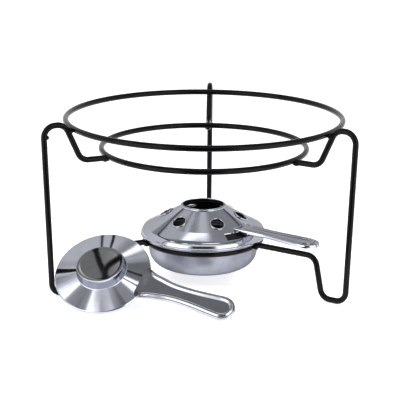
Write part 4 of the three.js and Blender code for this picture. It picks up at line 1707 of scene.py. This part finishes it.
CARDS = (
    Card("dim ceiling card", (0.12, 0.4, 1.12), (2.4, 2.4), 0.43, soft=0.12),
    Card("dark ceiling card", (-0.18, -0.1, 1.11), (0.95, 0.5), 0.24, soft=0.3),
    Card("pale middle card", (0.0, 0.2, 1.108), (0.36, 0.24), 0.95, soft=0.8),
    Card("pale left card", (-0.53, 0.71, 1.11), (1.0, 0.7), 0.78, soft=0.3),
    Card("strip light card", (-0.12, 0.36, 1.1), (0.5, 0.15), 2.6, soft=0.5),
    Card("front light card", (0.2, -0.36, 1.1), (0.5, 0.2), 2.6, soft=0.35),
    Card("front dark card", (-0.13, -0.53, 1.09), (0.16, 0.26), 0.1, soft=0.5),
    Card("front left light card", (-0.31, -0.6, 1.1), (0.17, 0.24), 1.5, soft=0.4),
    Card("left light card", (-0.56, -0.58, 1.1), (0.26, 0.3), 2.7, soft=0.4),
    Card("left dark card", (-0.75, -0.43, 1.09), (0.15, 0.32), 0.08, soft=0.5),
    Card("far left light card", (-0.94, -0.2, 1.1), (0.24, 0.3), 2.7, soft=0.4),
    Card("left side dark card", (-0.94, 0.08, 1.09), (0.26, 0.22), 0.06, soft=0.5),
    Card("camera card", (0.0, -0.85, 0.3), (0.9, 0.8), 0.04, soft=0.45, faces_burner=True),
    Card("top front card", (0.0, -1.0, 0.62), (1.3, 0.55), 2.4, soft=0.4, faces_burner=True),
    Card("left front card", (-0.88, -0.8, 0.35), (1.1, 1.0), 2.6, soft=0.35, faces_burner=True),
    Card("right front card", (0.84, -0.84, 0.35), (1.1, 1.0), 2.6, soft=0.35, faces_burner=True),
    Card("dark table card", (0.0, -0.22, 0.0015), (0.14, 0.2), 0.04, soft=0.4),
    Card("dark far table card", (0.0, -0.62, 0.0012), (0.42, 0.85), 0.05, soft=0.25),
    Card("right table card", (0.15, -0.15, 0.001), (0.2, 0.1), 2.3, soft=0.5, turn=40.0),
    Card("left table card", (-0.14, -0.165, 0.001), (0.18, 0.065), 2.3, soft=0.5, turn=-40.0),
)


@dataclass(frozen=True)
class Lamp:
    """A square soft lamp.

    Its place is measured from the stand's axis. It and the side are metres, and the power is watts.
    """

    name: str
    place: tuple[float, float, float]
    size: float
    power: float


LAMPS = (
    Lamp("left soft lamp", (-0.75, -0.55, 0.95), 0.55, 9.0),
    Lamp("right soft lamp", (0.8, -0.35, 0.9), 0.45, 6.0),
)


@dataclass
class Studio:
    """The photograph's viewpoint on a pale floor, with soft light.

    The camera's place is in millimetres from the stand's axis, and all other lengths are metres.
    """

    camera_place: tuple[float, float, float] = (1.3, -991.46, 341.33)
    pitch: float = 15.528
    yaw: float = -0.240
    roll: float = -0.438
    focal_pixels: float = 1238.15
    picture_width: float = 400.0
    sensor: float = 36.0
    clip: tuple[float, float] = (0.01, 50.0)
    floor_half_side: float = 6.0
    floor_color: tuple[float, float, float] = (0.82, 0.82, 0.83)
    floor_roughness: float = 0.9
    floor_glow: float = 0.66
    room_light: float = 0.62
    lamp_aim_height: float = 0.06
    card_aim_height: float = 0.05

    def set_camera(self) -> None:
        """Puts the camera where the photograph was taken from."""
        yaw, pitch, roll = (math.radians(v) for v in (self.yaw, self.pitch, self.roll))
        level = math.cos(pitch)
        ahead = Vector((math.sin(yaw) * level, math.cos(yaw) * level, -math.sin(pitch)))
        right = Vector((math.cos(yaw), -math.sin(yaw), 0))
        above = right.cross(ahead)
        across = right * math.cos(roll) - above * math.sin(roll)
        upright = right * math.sin(roll) + above * math.cos(roll)
        matrix = Matrix((across, upright, -ahead)).transposed().to_4x4()
        matrix.translation = AXIS + Vector(self.camera_place) * MM
        data = bpy.data.cameras.new("camera")
        data.sensor_width = self.sensor
        data.lens = self.focal_pixels / self.picture_width * self.sensor
        data.clip_start, data.clip_end = self.clip
        camera = linked("camera", data)
        camera.matrix_world = matrix
        bpy.context.scene.camera = camera

    def set_floor(self) -> None:
        """Lays the pale floor, which keeps the object's shadow."""
        half = self.floor_half_side
        mesh = bpy.data.meshes.new("floor")
        mesh.from_pydata([(x * half, y * half, 0) for x, y in SQUARE], [], [(0, 1, 2, 3)])
        floor = linked("floor", mesh)
        material = bpy.data.materials.new("pale floor")
        material.use_nodes = True
        tree = material.node_tree
        shader = tree.nodes["Principled BSDF"]
        shader.inputs["Base Color"].default_value = (*self.floor_color, 1)
        shader.inputs["Roughness"].default_value = self.floor_roughness
        shader.inputs["Specular IOR Level"].default_value = 0.0
        glow = add_node(tree, "ShaderNodeEmission", {"Color": WHITE, "Strength": self.floor_glow})
        seen = self.seen_by_eye_or_mirror(tree)
        masked = add_node(tree, "ShaderNodeMixShader", {0: seen})
        tree.links.new(glow.outputs[0], masked.inputs[2])
        both = add_node(tree, "ShaderNodeAddShader", {0: shader.outputs[0], 1: masked.outputs[0]})
        tree.links.new(both.outputs[0], tree.nodes["Material Output"].inputs["Surface"])
        mesh.materials.append(material)

    def seen_by_eye_or_mirror(self, tree: bpy.types.NodeTree) -> bpy.types.NodeSocket:
        """Tells the rays that see the surroundings from those that light.

        Args:
            tree: The material's or the world's tree.

        Returns:
            A socket that is 1 for rays from the camera, from metal and through glass, and 0 for others.
        """
        path = add_node(tree, "ShaderNodeLightPath")
        first = add_node(tree, "ShaderNodeMath", {
            0: path.outputs["Is Camera Ray"], 1: path.outputs["Is Glossy Ray"],
        }, operation="MAXIMUM")
        both = add_node(tree, "ShaderNodeMath", {
            0: first.outputs[0], 1: path.outputs["Is Transmission Ray"],
        }, operation="MAXIMUM")
        return both.outputs[0]

    def set_world(self) -> None:
        """Fills the room with even light and a white background."""
        world = bpy.data.worlds.new("studio")
        bpy.context.scene.world = world
        world.use_nodes = True
        tree = world.node_tree
        background = tree.nodes["Background"]
        background.inputs["Color"].default_value = WHITE
        seen = self.seen_by_eye_or_mirror(tree)
        strength = add_node(tree, "ShaderNodeMapRange", {
            "Value": seen, "To Min": self.room_light, "To Max": 1.0,
        })
        tree.links.new(strength.outputs["Result"], background.inputs["Strength"])

    def add_lamp(self, lamp: Lamp) -> None:
        """Hangs a lamp that faces the burner.

        Args:
            lamp: The lamp.
        """
        data = bpy.data.lights.new(lamp.name, "AREA")
        data.size = lamp.size
        data.energy = lamp.power
        hung = linked(lamp.name, data)
        hung.location = AXIS + Vector(lamp.place)
        aim = AXIS + Vector((0, 0, self.lamp_aim_height)) - hung.location
        hung.rotation_euler = aim.to_track_quat("-Z", "Y").to_euler()
        hung.visible_glossy = False

    def card_mask(self, tree: bpy.types.NodeTree, soft: float) -> bpy.types.NodeSocket:
        """Gives a card its soft edge.

        Args:
            tree: The card's tree.
            soft: The width of the fade, as a share of half a side.

        Returns:
            A socket that is 1 in the card's middle and fades to 0 at its edges.
        """
        half = 0.5
        uv = add_node(tree, "ShaderNodeTexCoord").outputs["UV"]
        place = add_node(tree, "ShaderNodeSeparateXYZ", {0: uv})
        fades = []
        for axis in ("X", "Y"):
            shifted = add_node(tree, "ShaderNodeMath", {
                0: place.outputs[axis], 1: half,
            }, operation="SUBTRACT")
            away = add_node(tree, "ShaderNodeMath", {0: shifted.outputs[0]}, operation="ABSOLUTE")
            fades.append(add_node(tree, "ShaderNodeMapRange", {
                "Value": away.outputs[0], "From Min": half - soft * half, "From Max": half,
                "To Min": 1.0, "To Max": 0.0,
            }, interpolation_type="SMOOTHSTEP").outputs["Result"])
        both = add_node(tree, "ShaderNodeMath", {0: fades[0], 1: fades[1]}, operation="MULTIPLY")
        return both.outputs[0]

    def add_card(self, card: Card) -> None:
        """Hangs a card.

        Args:
            card: The card.
        """
        center = AXIS + Vector(card.place)
        turn = Matrix.Rotation(math.radians(card.turn), 3, "Z")
        if card.faces_burner:
            aim = AXIS + Vector((0, 0, self.card_aim_height)) - center
            turn = aim.to_track_quat("-Z", "Y").to_matrix()
        width, depth = card.size
        corners = [center + turn @ Vector((x * width / 2, y * depth / 2, 0)) for x, y in SQUARE]
        mesh = bpy.data.meshes.new(card.name)
        mesh.from_pydata([tuple(corner) for corner in corners], [], [(0, 1, 2, 3)])
        mesh.uv_layers.new(name="UVMap").data.foreach_set("uv", [0, 0, 1, 0, 1, 1, 0, 1])
        material = bpy.data.materials.new(card.name)
        material.use_nodes = True
        tree = material.node_tree
        glow = add_node(tree, "ShaderNodeEmission", {"Color": WHITE, "Strength": card.tone})
        clear = add_node(tree, "ShaderNodeBsdfTransparent")
        mask = self.card_mask(tree, card.soft)
        soft = add_node(tree, "ShaderNodeMixShader", {0: mask, 1: clear.outputs[0]})
        tree.links.new(glow.outputs[0], soft.inputs[2])
        tree.links.new(soft.outputs[0], tree.nodes["Material Output"].inputs["Surface"])
        mesh.materials.append(material)
        hung = linked(card.name, mesh)
        hung.visible_camera = False
        hung.visible_diffuse = False
        hung.visible_shadow = False
        hung.visible_transmission = False

    def build(self) -> None:
        """Sets up the view, the camera, the floor, the lamps and the cards."""
        bpy.context.scene.view_settings.view_transform = "Standard"
        self.set_camera()
        self.set_floor()
        self.set_world()
        for lamp in LAMPS:
            self.add_lamp(lamp)
        for card in CARDS:
            self.add_card(card)


def main() -> None:
    """Builds the studio and every sub-assembly, in order."""
    logging.basicConfig(level=logging.INFO, format="%(name)s: %(message)s")
    Studio().build()
    shop = Workshop()
    for assembly in (WireStand(shop), Burner(shop), Snuffer(shop)):
        assembly.build()
        LOG.info("%s is done", type(assembly).__name__)


if __name__ == "__main__":
    main()
